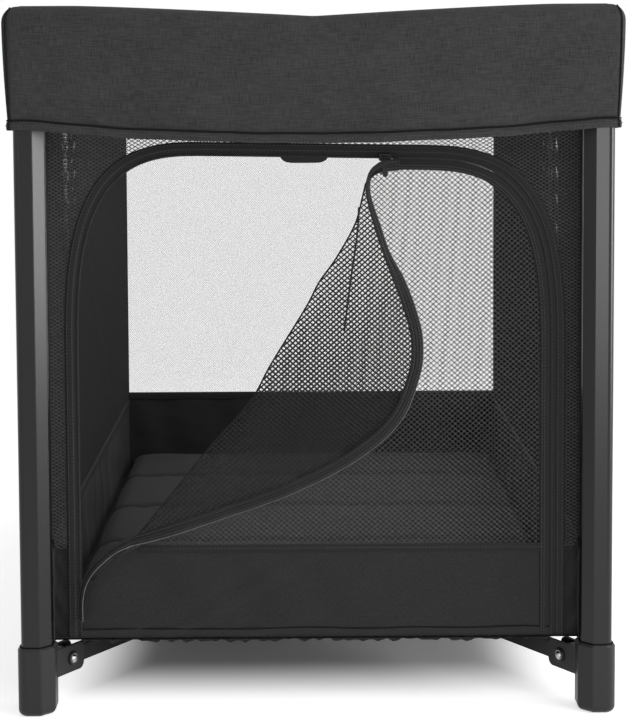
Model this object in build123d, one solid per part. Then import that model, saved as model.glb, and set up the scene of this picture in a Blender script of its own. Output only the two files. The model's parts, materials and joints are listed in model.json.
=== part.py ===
from build123d import *
import math
import os

# Folding travel playpen. The front, with the zipped door, looks along -Y, and the feet stand on Z = 0.
# All sizes are in millimetres.

# Frame plan and heights
LEG_SPAN_X = 636.0  # leg axis to leg axis along the short side
LEG_SPAN_Y = 1016.0  # leg axis to leg axis along the long side
ARM_Z = 52.0  # axis of the floor arms
FOLD_CLEARANCE = 1.0  # between a bar's round end and the web behind it
CUT_PAST = 1.0  # how far a cutter runs past a face

# Leg tube
LEG_SIZE = 34.0
LEG_CUT = 12.0  # flat cut across the two corners beside the walls
LEG_ROUND = 8.0  # outermost corner
LEG_WALL = 1.8
LEG_BOTTOM = 10.0
LEG_PAST_RAIL = 13.0  # tube above the axis of the top rails
SOCKET_FIT = 0.1  # around a tube in its moulding

# Foot cap
FOOT_WALL = 4.0
FOOT_BELOW_FLOOR = 1.0
FOOT_SOLE_ROUND = 7.0
FOOT_RIM_CUT = 2.5

# Bars that fold: floor arms and half rails
ARM_WIDTH = 14.0
ARM_HEIGHT = 18.0
RAIL_WIDTH = 18.0
RAIL_HEIGHT = 24.0
BAR_WALL = 1.6
SIDE_CLEARANCE = 0.3  # bar to cheek, each side

# Pivots
ARM_PIVOT_REACH = 50.0  # leg axis to arm pivot, towards the hub
HUB_PIVOT_RADIUS = 50.0
LOCK_PIVOT_HALF = 15.8  # middle of a rail to each lock pivot
PIN_RADIUS = 4.0
PIN_HEAD_RADIUS = 6.5
PIN_HEAD = 2.0
RUNNING_FIT = 0.05
OPEN_PIVOT_FIT = 0.3  # at the pivot where the linkage is opened

# Arm bracket, corner bracket and rail lock
CHEEK = 4.0
BRACKET_HEIGHT = 31.0
BRACKET_NOSE = 20.0  # cheek past the arm pivot
BRACKET_CORNER = 8.0
CORNER_WALL = 3.0
CORNER_PAST_RAIL = 25.0  # moulding above the axis of the top rails
CLEVIS_RIM = 1.0  # cheek past the rail's round end
LOCK_WEB = 4.0
LOCK_WEB_GAP = 0.6
BUTTON_STEM_X = 11.0
BUTTON_STEM_Y = 13.0
BUTTON_HEAD_X = 26.0
BUTTON_HEAD_Y = 18.0
BUTTON_HEAD = 4.0
BUTTON_TRAVEL = 3.0

# Hub under the floor
HUB_RADIUS = 66.0
HUB_SHELL = 6.0  # above the arm slots
HUB_SKIRT = 14.0  # below the arm axis
HUB_RIM_ROUND = 4.0
HUB_FOOT_RADIUS = 24.0
HUB_FOOT_PAD_RADIUS = 32.0
HUB_FOOT_PAD = 8.0
HUB_CAP_RADIUS = 58.0

# Cloth
CLOTH_GAP = 0.3
WALL_THICKNESS = 2.0
BAND_THICKNESS = 2.4
FLOOR_LIFT = 28.0  # cloth floor above the arms' axis
FLOOR_THICKNESS = 2.6
BAND_HEIGHT = 112.0
NET_BELOW_RAIL = 34.0  # below the axis of the top rails
NET_RIM = 16.0  # solid edge around the mesh
NET_THREAD = 9.0
NET_CELL_WIDTH = 92.0
NET_CELL_HEIGHT = 78.0
DOOR_CELL = 60.0
SHOULDER_CELL = 34.0

# Rail cover
COVER_EASE = 15.0  # outer face, past the leg
COVER_LAP = 1.0  # inner face, past the leg
COVER_WALL = 2.4
COVER_TOP = 800.0  # height of the whole playpen
RAIL_DROP = 28.0  # axis of the top rails below the cover's top
COVER_DIP = 12.0  # top at mid-span, below the corners
COVER_DROP = 136.0  # top to hem at the corners
COVER_HEM_SAG = 14.0
COVER_SHOULDER = 14.0
COVER_LEVEL = 80.0  # level stretch at each corner

# Door in the front wall
DOOR_POST = 17.0  # fixed cloth beside the door
DOOR_BELOW_HEM = 17.0  # door top below the cover's hem
DOOR_CROWN_SHARE = 0.42  # straight top run of the zip, of the door's width
DOOR_SHOULDER_SHARE = 0.565  # start of the curve, of the door's height
DOOR_ROUNDNESS = 3.0  # exponent of the shoulder's curve
ZIP_WIDTH = 16.0
ZIP_THICKNESS = 3.6
FLAP_HEM_LIFT = 2.0
FLAP_BORDER = 14.0
FLAP_EDGE = 11.0  # tape along the open edge
FLAP_LIFT = 10.0  # turned-over corner in front of the wall
FOLD_STRIP = 3.0
TAB_WIDTH = 57.0
TAB_DROP = 9.0
TAB_SHARE = -0.042  # place along the crown, of the door's half width
TAB_ROUND = 5.0
SLIDER_SHARE = 0.28  # place along the crown, of the door's half width
SLIDER_WIDTH = 14.0
SLIDER_HEIGHT = 8.0
SLIDER_DEPTH = 5.0
BAIL_RADIUS = 1.0
BAIL_LIFT = 2.6  # bail axis in front of the slider
PULL_WIDTH = 6.0
PULL_LENGTH = 22.0
PULL_THICKNESS = 1.8

# Open edge of the door flap, from the slider down to the hem: shares of the door's half width and height
FOLD_SHARES = [(0.2, 0.907), (0.077, 0.762), (-0.18, 0.549), (-0.45, 0.369), (-0.81, 0.155)]
TURNED_SHARES = [
    (0.25, 0.903),
    (0.32, 0.774),
    (0.43, 0.598),
    (0.366, 0.453),
    (0.127, 0.344),
    (-0.366, 0.238),
    (-0.796, 0.148),
]
LOWER_SHARES = [(-0.901, 0.109), (-0.944, 0.053)]

# Mattress
MATTRESS_EASE = 3.0  # to each wall
MATTRESS_CROWN = 22.0
MATTRESS_SEAM = 16.0
MATTRESS_EDGE = 13.0
MATTRESS_CHANNELS = 5
MATTRESS_PITCH_SHARE = 0.209  # between seams, of the length
MATTRESS_BULGE = 5.0

# Derived plan of the fold
leg_x = LEG_SPAN_X / 2
leg_y = LEG_SPAN_Y / 2
diagonal = math.hypot(leg_x, leg_y)
toward_x = leg_x / diagonal
toward_y = leg_y / diagonal
arm_length = diagonal - ARM_PIVOT_REACH - HUB_PIVOT_RADIUS
half_rail_x = arm_length * toward_x
half_rail_y = arm_length * toward_y
rail_pivot_x = leg_x - half_rail_x - LOCK_PIVOT_HALF
rail_pivot_y = leg_y - half_rail_y - LOCK_PIVOT_HALF

# Derived heights and planes
rail_z = COVER_TOP - RAIL_DROP
leg_top = rail_z + LEG_PAST_RAIL
corner_top = rail_z + CORNER_PAST_RAIL
net_top = rail_z - NET_BELOW_RAIL
corner_bottom = net_top + CLOTH_GAP
floor_z = ARM_Z + FLOOR_LIFT
foot_height = floor_z - FOOT_BELOW_FLOOR
band_top = floor_z + BAND_HEIGHT
mattress_z = floor_z + FLOOR_THICKNESS + CLOTH_GAP
wall_x = leg_x - LEG_SIZE / 2
wall_y = leg_y - LEG_SIZE / 2
wall_half_x = wall_x - BAND_THICKNESS / 2
wall_half_y = wall_y - BAND_THICKNESS / 2
cover_out = LEG_SIZE / 2 + COVER_EASE
cover_in = LEG_SIZE / 2 + COVER_LAP
cover_hem = COVER_TOP - COVER_DROP

# Derived door and mattress
door_half_width = wall_x - DOOR_POST
door_top = cover_hem - DOOR_BELOW_HEM
door_height = door_top - floor_z
door_shoulder_z = floor_z + DOOR_SHOULDER_SHARE * door_height
door_crown_half = DOOR_CROWN_SHARE * door_half_width
door_inner_half = door_half_width - ZIP_WIDTH
door_inner_top = door_top - ZIP_WIDTH
slider_x = SLIDER_SHARE * door_half_width
tab_centre = TAB_SHARE * door_half_width
flap_hem = floor_z + FLAP_HEM_LIFT
mattress_width = 2 * (wall_x - MATTRESS_EASE) - BAND_THICKNESS
mattress_length = 2 * (wall_y - MATTRESS_EASE) - BAND_THICKNESS
mattress_seam_pitch = MATTRESS_PITCH_SHARE * mattress_length


def on_door(shares):
    """Points in the wall's plane from shares of the door's half width and height."""
    return [(u * door_half_width, floor_z + v * door_height) for u, v in shares]


fold_line = on_door(FOLD_SHARES)
turned_edge = on_door(TURNED_SHARES)
lower_edge = on_door(LOWER_SHARES)

CORNERS = {
    "front_left": (-1, -1),
    "front_right": (1, -1),
    "back_left": (-1, 1),
    "back_right": (1, 1),
}


def save(name, shape):
    """Write one node to its own file."""
    shape.label = name
    export_step(shape, f"parts/{name}.step")


def at_leg(side_x, side_y):
    """Place of a leg's axis at floor level."""
    return Pos(side_x * leg_x, side_y * leg_y, 0)


def leg_turn(side_x, side_y):
    """Turn that brings the leg section's outermost corner to this corner of the frame."""
    return Rot(0, 0, math.degrees(math.atan2(side_y, side_x)) - 45)


def along_arm(side_x, side_y):
    """Frame at a leg's axis with X towards the hub."""
    heading = math.degrees(math.atan2(-side_y * leg_y, -side_x * leg_x))
    return at_leg(side_x, side_y) * Rot(0, 0, heading)


def along_rail(side_x, side_y, axis):
    """Frame at a leg's axis with X towards the middle of the rail along the named axis."""
    if axis == "x":
        heading = 180 if side_x > 0 else 0
    else:
        heading = -90 if side_y > 0 else 90
    return at_leg(side_x, side_y) * Rot(0, 0, heading)


def leg_section(half, cut, rounding):
    """Leg section with its outermost corner at +X +Y: one round corner and two cut ones."""
    with BuildSketch() as section:
        with BuildLine():
            outer = half - rounding
            middle = outer + rounding * math.sqrt(0.5)
            Polyline(
                (half, outer),
                (half, cut - half),
                (half - cut, -half),
                (-half, -half),
                (-half, half - cut),
                (cut - half, half),
                (outer, half),
            )
            ThreePointArc((outer, half), (middle, middle), (half, outer))
        make_face()
    return section.sketch


def grown_leg_section(growth):
    """Leg section grown or shrunk evenly, so that mouldings follow the tube."""
    cut = LEG_CUT + growth * (2 - math.sqrt(2))
    return leg_section(LEG_SIZE / 2 + growth, cut, LEG_ROUND + growth)


def prism(section, low, high):
    """Upright solid of a section between two heights."""
    return Pos(0, 0, low) * extrude(section, amount=high - low)


def pin(length):
    """Rivet along Y with a head at each end, outside its length."""
    shaft = Cylinder(PIN_RADIUS, length)
    for side in (-1, 1):
        head = Cylinder(PIN_HEAD_RADIUS, PIN_HEAD)
        shaft += Pos(0, 0, side * (length + PIN_HEAD) / 2) * head
    return Rot(90, 0, 0) * shaft


def pin_hole(length, fit):
    """Cutter along Y for a pin."""
    return Rot(90, 0, 0) * Cylinder(PIN_RADIUS + fit, length)


def bar(length, width, height, near_fit, far_fit):
    """Tube between two pivots along X, from the first one, with round ends and cross holes."""
    middle = Pos(length / 2, 0, 0)
    body = middle * extrude(Plane.XZ * SlotCenterToCenter(length, height), amount=width / 2, both=True)
    bore = Box(length + height, width - 2 * BAR_WALL, height - 2 * BAR_WALL)
    body -= middle * bore
    body -= pin_hole(width, near_fit)
    body -= Pos(length, 0, 0) * pin_hole(width, far_fit)
    return body


def clevis(start, pivot, bar_width, bar_height):
    """Two cheeks along X around a bar's end, joined by a web from start to just short of the bar."""
    radius = bar_height / 2 + CLEVIS_RIM
    inner = bar_width / 2 + SIDE_CLEARANCE
    outline = Pos((start + pivot) / 2, 0) * Rectangle(pivot - start, 2 * radius)
    outline += Pos(pivot, 0) * Circle(radius)
    block = extrude(Plane.XZ * outline, amount=inner + CHEEK, both=True)
    mouth_start = pivot - bar_height / 2 - FOLD_CLEARANCE
    mouth_end = pivot + radius
    mouth = Box(mouth_end - mouth_start, 2 * inner, 2 * radius)
    block -= Pos((mouth_start + mouth_end) / 2, 0, 0) * mouth
    return block - Pos(pivot, 0, 0) * pin_hole(2 * (inner + CHEEK), RUNNING_FIT)


def leg_tube(side_x, side_y):
    """Hollow leg from its foot to its corner moulding."""
    section = grown_leg_section(0) - grown_leg_section(-LEG_WALL)
    return at_leg(side_x, side_y) * leg_turn(side_x, side_y) * prism(section, LEG_BOTTOM, leg_top)


def foot_outside():
    """Outside of a foot cap, with a rounded sole and a cut rim."""
    body = prism(grown_leg_section(FOOT_WALL), 0, foot_height)
    body = fillet(body.faces().sort_by(Axis.Z)[0].edges(), FOOT_SOLE_ROUND)
    return chamfer(body.faces().sort_by(Axis.Z)[-1].edges(), FOOT_RIM_CUT)


def foot_cap(side_x, side_y):
    """Moulded foot with a socket for the leg tube."""
    body = foot_outside() - prism(grown_leg_section(SOCKET_FIT), LEG_BOTTOM, foot_height)
    return at_leg(side_x, side_y) * leg_turn(side_x, side_y) * body


def arm_bracket(side_x, side_y):
    """Clevis on the foot cap's inner side that carries one floor arm."""
    inner = ARM_WIDTH / 2 + SIDE_CLEARANCE
    end = ARM_PIVOT_REACH + BRACKET_NOSE
    plate = Pos(end / 2, 0) * Rectangle(end, BRACKET_HEIGHT)
    plate = fillet(plate.vertices().group_by(Axis.X)[-1], BRACKET_CORNER)
    block = extrude(Plane.XZ * plate, amount=inner + CHEEK, both=True)
    mouth_start = ARM_PIVOT_REACH - ARM_HEIGHT / 2 - FOLD_CLEARANCE
    block -= Pos((mouth_start + end) / 2, 0, 0) * Box(end - mouth_start, 2 * inner, BRACKET_HEIGHT)
    block -= Pos(ARM_PIVOT_REACH, 0, 0) * pin_hole(2 * (inner + CHEEK), RUNNING_FIT)
    placed = along_arm(side_x, side_y) * Pos(0, 0, ARM_Z) * block
    foot = prism(grown_leg_section(FOOT_WALL), 0, foot_height)
    return placed - at_leg(side_x, side_y) * leg_turn(side_x, side_y) * foot


def corner_bracket(side_x, side_y):
    """Moulding on a leg's top with a clevis for each of its two half rails."""
    place = at_leg(side_x, side_y)
    turned = place * leg_turn(side_x, side_y)
    body = turned * prism(grown_leg_section(CORNER_WALL), corner_bottom, corner_top)
    for axis, pivot in (("x", rail_pivot_x), ("y", rail_pivot_y)):
        arm = clevis(0, pivot, RAIL_WIDTH, RAIL_HEIGHT)
        body += along_rail(side_x, side_y, axis) * Pos(0, 0, rail_z) * arm
    return body - turned * prism(grown_leg_section(SOCKET_FIT), corner_bottom, leg_top)


def leg_pins(side_x, side_y):
    """The three rivets that a leg carries: one for its arm and one for each half rail."""
    arm_grip = ARM_WIDTH + 2 * (SIDE_CLEARANCE + CHEEK)
    rail_grip = RAIL_WIDTH + 2 * (SIDE_CLEARANCE + CHEEK)
    pins = [along_arm(side_x, side_y) * Pos(ARM_PIVOT_REACH, 0, ARM_Z) * pin(arm_grip)]
    for axis, pivot in (("x", rail_pivot_x), ("y", rail_pivot_y)):
        pins.append(along_rail(side_x, side_y, axis) * Pos(pivot, 0, rail_z) * pin(rail_grip))
    return Compound(pins)


def arm(side_x, side_y):
    """Floor arm from a foot to the hub."""
    tube = bar(arm_length, ARM_WIDTH, ARM_HEIGHT, RUNNING_FIT, RUNNING_FIT)
    return along_arm(side_x, side_y) * Pos(ARM_PIVOT_REACH, 0, ARM_Z) * tube


def half_rail(side_x, side_y, axis):
    """Half of a top rail, from its corner moulding to the lock that one half carries."""
    length, pivot = (half_rail_x, rail_pivot_x) if axis == "x" else (half_rail_y, rail_pivot_y)
    carries_lock = side_x < 0 if axis == "x" else side_y < 0
    lock_fit = RUNNING_FIT if carries_lock else OPEN_PIVOT_FIT
    tube = bar(length, RAIL_WIDTH, RAIL_HEIGHT, RUNNING_FIT, lock_fit)
    return along_rail(side_x, side_y, axis) * Pos(pivot, 0, rail_z) * tube


def lock_frame(side):
    """Frame at the middle of a rail, with X along the rail."""
    places = {
        "front": Pos(0, -leg_y, rail_z),
        "back": Pos(0, leg_y, rail_z),
        "left": Pos(-leg_x, 0, rail_z) * Rot(0, 0, 90),
        "right": Pos(leg_x, 0, rail_z) * Rot(0, 0, 90),
    }
    return places[side]


def rail_lock(side):
    """Channel around the inner ends of two half rails: two cheeks and a web that stops them level."""
    radius = RAIL_HEIGHT / 2 + CLEVIS_RIM
    inner = RAIL_WIDTH / 2 + SIDE_CLEARANCE
    web_top = -RAIL_HEIGHT / 2 - LOCK_WEB_GAP
    cheek = SlotCenterToCenter(2 * LOCK_PIVOT_HALF, 2 * radius)
    depth = web_top - LOCK_WEB
    cheek += Pos(0, depth / 2) * Rectangle(2 * LOCK_PIVOT_HALF, -depth)
    body = extrude(Plane.XZ * cheek, amount=inner + CHEEK, both=True)
    length = 2 * (LOCK_PIVOT_HALF + radius)
    body -= Pos(0, 0, web_top + radius) * Box(length, 2 * inner, 2 * radius)
    slot_fit = 2 * SIDE_CLEARANCE
    body -= Pos(0, 0, depth) * Box(BUTTON_STEM_X + slot_fit, BUTTON_STEM_Y + slot_fit, 4 * LOCK_WEB)
    for end in (-1, 1):
        body -= Pos(end * LOCK_PIVOT_HALF, 0, 0) * pin_hole(2 * (inner + CHEEK), RUNNING_FIT)
    return lock_frame(side) * body


def lock_pins(side):
    """Two rivets of a rail lock."""
    grip = RAIL_WIDTH + 2 * (SIDE_CLEARANCE + CHEEK)
    pins = [lock_frame(side) * Pos(end * LOCK_PIVOT_HALF, 0, 0) * pin(grip) for end in (-1, 1)]
    return Compound(pins)


def lock_button(side):
    """Release button in the lock's web, pressed upwards."""
    web_top = -RAIL_HEIGHT / 2 - LOCK_WEB_GAP
    head_top = web_top - LOCK_WEB - BUTTON_TRAVEL
    stem_height = web_top - head_top
    stem = Pos(0, 0, head_top + stem_height / 2) * Box(BUTTON_STEM_X, BUTTON_STEM_Y, stem_height)
    face = RectangleRounded(BUTTON_HEAD_X, BUTTON_HEAD_Y, BUTTON_HEAD)
    head = Pos(0, 0, head_top - BUTTON_HEAD) * extrude(face, amount=BUTTON_HEAD)
    return lock_frame(side) * (stem + head)


def hub_slot():
    """Cutter for one arm's end and its downward swing, along X."""
    inner = HUB_PIVOT_RADIUS - ARM_HEIGHT / 2 - FOLD_CLEARANCE
    length = HUB_RADIUS - inner + FOLD_CLEARANCE
    roof = ARM_HEIGHT / 2 + FOLD_CLEARANCE
    height = roof + HUB_SKIRT
    slot = Box(length, ARM_WIDTH + 2 * SIDE_CLEARANCE, height)
    return Pos(inner + length / 2, 0, roof - height / 2) * slot


def hub_headings():
    """Directions from the hub to the four legs, in degrees."""
    return [math.degrees(math.atan2(sy * leg_y, sx * leg_x)) for sx, sy in CORNERS.values()]


hub_top = ARM_HEIGHT / 2 + FOLD_CLEARANCE + HUB_SHELL
hub_grip = ARM_WIDTH + 2 * (SIDE_CLEARANCE + CHEEK)


def hub():
    """Hub that the four arms fold into, open below each arm."""
    body = Cylinder(HUB_RADIUS, hub_top + HUB_SKIRT, align=(Align.CENTER, Align.CENTER, Align.MIN))
    body = Pos(0, 0, -HUB_SKIRT) * body
    body = fillet(body.edges().sort_by(Axis.Z)[-1], HUB_RIM_ROUND)
    for heading in hub_headings():
        turned = Rot(0, 0, heading)
        body -= turned * hub_slot()
        body -= turned * Pos(HUB_PIVOT_RADIUS, 0, 0) * pin_hole(hub_grip, RUNNING_FIT)
    return Pos(0, 0, ARM_Z) * body


def hub_pins():
    """One pin for each arm, held inside the hub."""
    pins = []
    for heading in hub_headings():
        shaft = Rot(90, 0, 0) * Cylinder(PIN_RADIUS, hub_grip)
        pins.append(Pos(0, 0, ARM_Z) * Rot(0, 0, heading) * Pos(HUB_PIVOT_RADIUS, 0, 0) * shaft)
    return Compound(pins)


def hub_foot():
    """Post under the hub, with a wide pad on the floor."""
    height = ARM_Z - HUB_SKIRT
    with BuildPart() as foot:
        with BuildSketch(Plane.XZ):
            with BuildLine():
                Polyline(
                    (0, 0),
                    (HUB_FOOT_PAD_RADIUS, 0),
                    (HUB_FOOT_PAD_RADIUS, HUB_FOOT_PAD / 2),
                    (HUB_FOOT_RADIUS, HUB_FOOT_PAD),
                    (HUB_FOOT_RADIUS, height),
                    (0, height),
                    close=True,
                )
            make_face()
        revolve(axis=Axis.Z)
    return foot.part


def hub_cap():
    """Low dome on the hub that the floor lies on."""
    base = ARM_Z + hub_top
    height = floor_z - CLOTH_GAP - base
    dome = Cylinder(HUB_CAP_RADIUS, height, align=(Align.CENTER, Align.CENTER, Align.MIN))
    dome = fillet(dome.edges().sort_by(Axis.Z)[-1], height / 2)
    return Pos(0, 0, base) * dome


def net_face(outline, cell_width, cell_height, lowest):
    """One face with staggered diamond gaps above a height, kept clear of the outline by a solid rim."""
    box = outline.bounding_box()
    face = outline.faces()[0]
    half_u = (cell_width - NET_THREAD) / 2
    half_v = (cell_height - NET_THREAD) / 2
    rim_u = half_u + NET_RIM
    rim_v = half_v + NET_RIM
    middle = (box.min.X + box.max.X) / 2
    columns = math.ceil((box.max.X - box.min.X) / cell_width)
    rows = math.ceil((box.max.Y - lowest) / (cell_height / 2))
    gaps = []
    for row in range(rows + 1):
        v = lowest + rim_v + row * cell_height / 2
        for column in range(-columns, columns + 1):
            u = middle + (column + 0.5 * (row % 2)) * cell_width
            corners = [(u - rim_u, v), (u, v - rim_v), (u + rim_u, v), (u, v + rim_v)]
            if all(face.is_inside(Vector(*corner, 0)) for corner in corners):
                points = [(u - half_u, v), (u, v - half_v), (u + half_u, v), (u, v + half_v)]
                gaps.append(Wire.make_polygon([Vector(*point, 0) for point in points], close=True))
    return Face(face.outer_wire(), gaps)


def wall_panel(plane, face, thickness):
    """Cloth panel of an even thickness, centred on a plane."""
    return extrude(plane * face, amount=thickness / 2, both=True)


front_plane = Plane.XZ.offset(wall_y)
back_plane = Plane.XZ.offset(-wall_y)
left_plane = Plane.YZ.offset(-wall_x)
right_plane = Plane.YZ.offset(wall_x)


def panel_outline(half_width, low, high):
    """Rectangle in a wall's plane between two heights."""
    return Pos(0, (low + high) / 2) * Rectangle(2 * half_width, high - low)


def wall_net(plane, half_width):
    """Mesh of one closed wall, from its lower band to the rail cover."""
    low = band_top + CLOTH_GAP
    outline = panel_outline(half_width, low, net_top)
    return wall_panel(plane, net_face(outline, NET_CELL_WIDTH, NET_CELL_HEIGHT, low), WALL_THICKNESS)


def lower_band():
    """Solid cloth around the foot of the three closed walls."""
    walls = ((back_plane, wall_half_x), (left_plane, wall_half_y), (right_plane, wall_half_y))
    bands = []
    for plane, half_width in walls:
        outline = panel_outline(half_width - CLOTH_GAP, floor_z, band_top)
        bands.append(wall_panel(plane, outline, BAND_THICKNESS))
    return Compound(bands)


def shoulder_points(half_width, top):
    """Points on the door's right shoulder, from the post to the crown, on a squared ellipse."""
    points = []
    for degrees in (0, 12, 28, 45, 62, 78, 90):
        angle = math.radians(degrees)
        u = max(math.cos(angle), 0) ** (2 / DOOR_ROUNDNESS)
        v = math.sin(angle) ** (2 / DOOR_ROUNDNESS)
        along = door_crown_half + (half_width - door_crown_half) * u
        points.append((along, door_shoulder_z + (top - door_shoulder_z) * v))
    return points


def arch(half_width, top, bottom):
    """Door outline: straight posts, squared shoulders and a flat crown."""
    right = shoulder_points(half_width, top)
    left = [(-u, v) for u, v in right]
    with BuildSketch() as outline:
        with BuildLine():
            Line((-half_width, bottom), (half_width, bottom))
            Line((half_width, bottom), right[0])
            Spline(*right, tangents=[(0, 1), (-1, 0)])
            Line(right[-1], left[-1])
            Spline(*left, tangents=[(0, 1), (1, 0)])
            Line(left[0], (-half_width, bottom))
        make_face()
    return outline.sketch


def front_net():
    """Fixed part of the front wall around the door, with mesh in its shoulders."""
    outline = panel_outline(wall_half_x - CLOTH_GAP, floor_z, net_top)
    outline -= arch(door_half_width, door_top, floor_z - CUT_PAST)
    face = net_face(outline, SHOULDER_CELL, SHOULDER_CELL, band_top)
    return wall_panel(front_plane, face, WALL_THICKNESS)


def door_zip():
    """Zip tape and binding around the door, with a keeper tab behind its crown."""
    tape = arch(door_half_width, door_top, floor_z)
    tape -= arch(door_inner_half, door_inner_top, floor_z - CUT_PAST)
    back = wall_y - WALL_THICKNESS / 2
    body = extrude(Plane.XZ.offset(back) * tape, amount=ZIP_THICKNESS)
    height = TAB_DROP + ZIP_WIDTH
    tab = Pos(tab_centre, door_inner_top - TAB_DROP + height / 2) * Rectangle(TAB_WIDTH, height)
    tab = fillet(tab.vertices().group_by(Axis.Y)[0], TAB_ROUND)
    return body + extrude(Plane.XZ.offset(back - WALL_THICKNESS) * tab, amount=WALL_THICKNESS)


def closed_door():
    """Door cloth inside its zip, before its corner is turned over."""
    return arch(door_inner_half - CLOTH_GAP, door_inner_top - CLOTH_GAP, flap_hem)


def opened_corner():
    """Corner of the doorway that the turned-over flap leaves open."""
    start = fold_line[0]
    end = lower_edge[-1]
    beyond = 2 * door_half_width
    with BuildSketch() as outline:
        with BuildLine():
            Spline(*fold_line)
            Polyline(
                fold_line[-1],
                *lower_edge,
                (-beyond, end[1]),
                (-beyond, door_top),
                (slider_x, door_top),
                (slider_x, door_inner_top - FLAP_BORDER),
                start,
            )
        make_face()
    return outline.sketch


def turned_corner():
    """Corner of the flap that lies in front of the wall, between its fold and its zip edge."""
    with BuildSketch() as outline:
        with BuildLine():
            Spline(*fold_line)
            Spline(*turned_edge)
            Line(fold_line[0], turned_edge[0])
            Line(fold_line[-1], turned_edge[-1])
        make_face()
    return outline.sketch


def edge_tape(points, width):
    """Flat tape along a curve through points."""
    return trace(Spline(*points), line_width=width)


def door_flap():
    """Door cloth with its lower band, its turned-over corner and the tape along the open edge."""
    region = closed_door() - opened_corner()
    region = region.faces().sort_by(SortBy.AREA)[-1]
    mesh = net_face(Sketch() + region, DOOR_CELL, DOOR_CELL, band_top)
    body = wall_panel(front_plane, mesh, WALL_THICKNESS)
    corner_back = wall_y + FLAP_LIFT - WALL_THICKNESS / 2
    corner = net_face(turned_corner(), DOOR_CELL, DOOR_CELL, band_top)
    body += extrude(Plane.XZ.offset(corner_back) * corner, amount=WALL_THICKNESS)
    fold = edge_tape(fold_line, FOLD_STRIP)
    back = wall_y - WALL_THICKNESS / 2
    body += extrude(Plane.XZ.offset(back) * fold, amount=FLAP_LIFT + WALL_THICKNESS)
    edge = edge_tape(turned_edge, FLAP_EDGE)
    return body + extrude(Plane.XZ.offset(corner_back) * edge, amount=ZIP_THICKNESS)


zip_front = wall_y - WALL_THICKNESS / 2 + ZIP_THICKNESS
slider_front = zip_front + CLOTH_GAP + SLIDER_DEPTH
slider_z = door_inner_top
bail_front = slider_front + BAIL_LIFT


def zip_slider():
    """Slider on the straight top run of the zip, with a bail for its pull."""
    body = Box(SLIDER_WIDTH, SLIDER_DEPTH, SLIDER_HEIGHT)
    body = fillet(body.edges().filter_by(Axis.Y), SLIDER_HEIGHT / 4)
    place = Pos(slider_x, -(slider_front - SLIDER_DEPTH / 2), slider_z)
    lug_depth = BAIL_LIFT + BAIL_RADIUS
    body = place * body
    for side in (-1, 1):
        lug = Box(BAIL_RADIUS * 2, lug_depth, BAIL_RADIUS * 2)
        lug_x = slider_x + side * (PULL_WIDTH / 2 + SIDE_CLEARANCE + BAIL_RADIUS)
        body += Pos(lug_x, -(slider_front + lug_depth / 2), slider_z) * lug
    bail = Rot(0, 90, 0) * Cylinder(BAIL_RADIUS, PULL_WIDTH + 2 * SIDE_CLEARANCE + BAIL_RADIUS)
    return body + Pos(slider_x, -bail_front, slider_z) * bail


def zip_pull():
    """Flat pull that hangs from the slider's bail."""
    eye = BAIL_RADIUS + RUNNING_FIT
    length = PULL_LENGTH - PULL_WIDTH / 2
    plate = Pos(0, -length / 2) * Rectangle(PULL_WIDTH, length)
    plate += Pos(0, -length) * Circle(PULL_WIDTH / 2)
    body = extrude(Plane.XZ * plate, amount=PULL_THICKNESS / 2, both=True)
    barrel = Rot(0, 90, 0) * Cylinder(eye + PULL_THICKNESS / 2, PULL_WIDTH)
    body = body + barrel - Rot(0, 90, 0) * Cylinder(eye, PULL_WIDTH)
    return Pos(slider_x, -bail_front, slider_z) * body


def cover_view(half_length, hem, inset):
    """Side view of one run of the rail cover: level at the corners, dipping to the middle."""
    half = half_length - inset
    top = COVER_TOP - inset
    level = half_length - COVER_LEVEL
    bend = COVER_SHOULDER * (1 - math.sqrt(0.5))
    with BuildSketch() as view:
        with BuildLine():
            ThreePointArc((-half, hem), (0, hem - COVER_HEM_SAG), (half, hem))
            Line((half, hem), (half, top - COVER_SHOULDER))
            for side in (1, -1):
                shoulder = (side * (half - bend), top - bend)
                inner = (side * (half - COVER_SHOULDER), top)
                ThreePointArc((side * half, top - COVER_SHOULDER), shoulder, inner)
                Polyline(inner, (side * level, top), (0, top - COVER_DIP))
            Line((-half, top - COVER_SHOULDER), (-half, hem))
        make_face()
    return view.sketch


def cover_run(plane, half_length, hem, inset):
    """Solid of one run of the rail cover, standing on a plane at its inner face."""
    depth = cover_out + cover_in - 2 * inset
    return extrude(plane * cover_view(half_length, hem, inset), amount=depth)


def cover_ring(hem, inset):
    """All four runs of the rail cover, shrunk evenly by an inset."""
    reach_x = leg_x - cover_in + inset
    reach_y = leg_y - cover_in + inset
    front = cover_run(Plane.XZ.offset(reach_y), leg_x + cover_out, hem, inset)
    right = cover_run(Plane.YZ.offset(reach_x), leg_y + cover_out, hem, inset)
    return front + mirror(front, Plane.XZ) + right + mirror(right, Plane.YZ)


def mitre(side):
    """Upright wedge that holds one side of the rail cover."""
    out_x = leg_x + cover_out
    out_y = leg_y + cover_out
    in_x = leg_x - cover_in
    in_y = leg_y - cover_in
    if side in ("front", "back"):
        points = [(-out_x, -out_y), (out_x, -out_y), (in_x, -in_y), (-in_x, -in_y)]
    else:
        points = [(-out_x, -out_y), (-in_x, -in_y), (-in_x, in_y), (-out_x, out_y)]
    turn = Rot(0, 0, 180 if side in ("back", "right") else 0)
    return turn * extrude(make_face(Polyline(*points, close=True)), amount=COVER_TOP)


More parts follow.
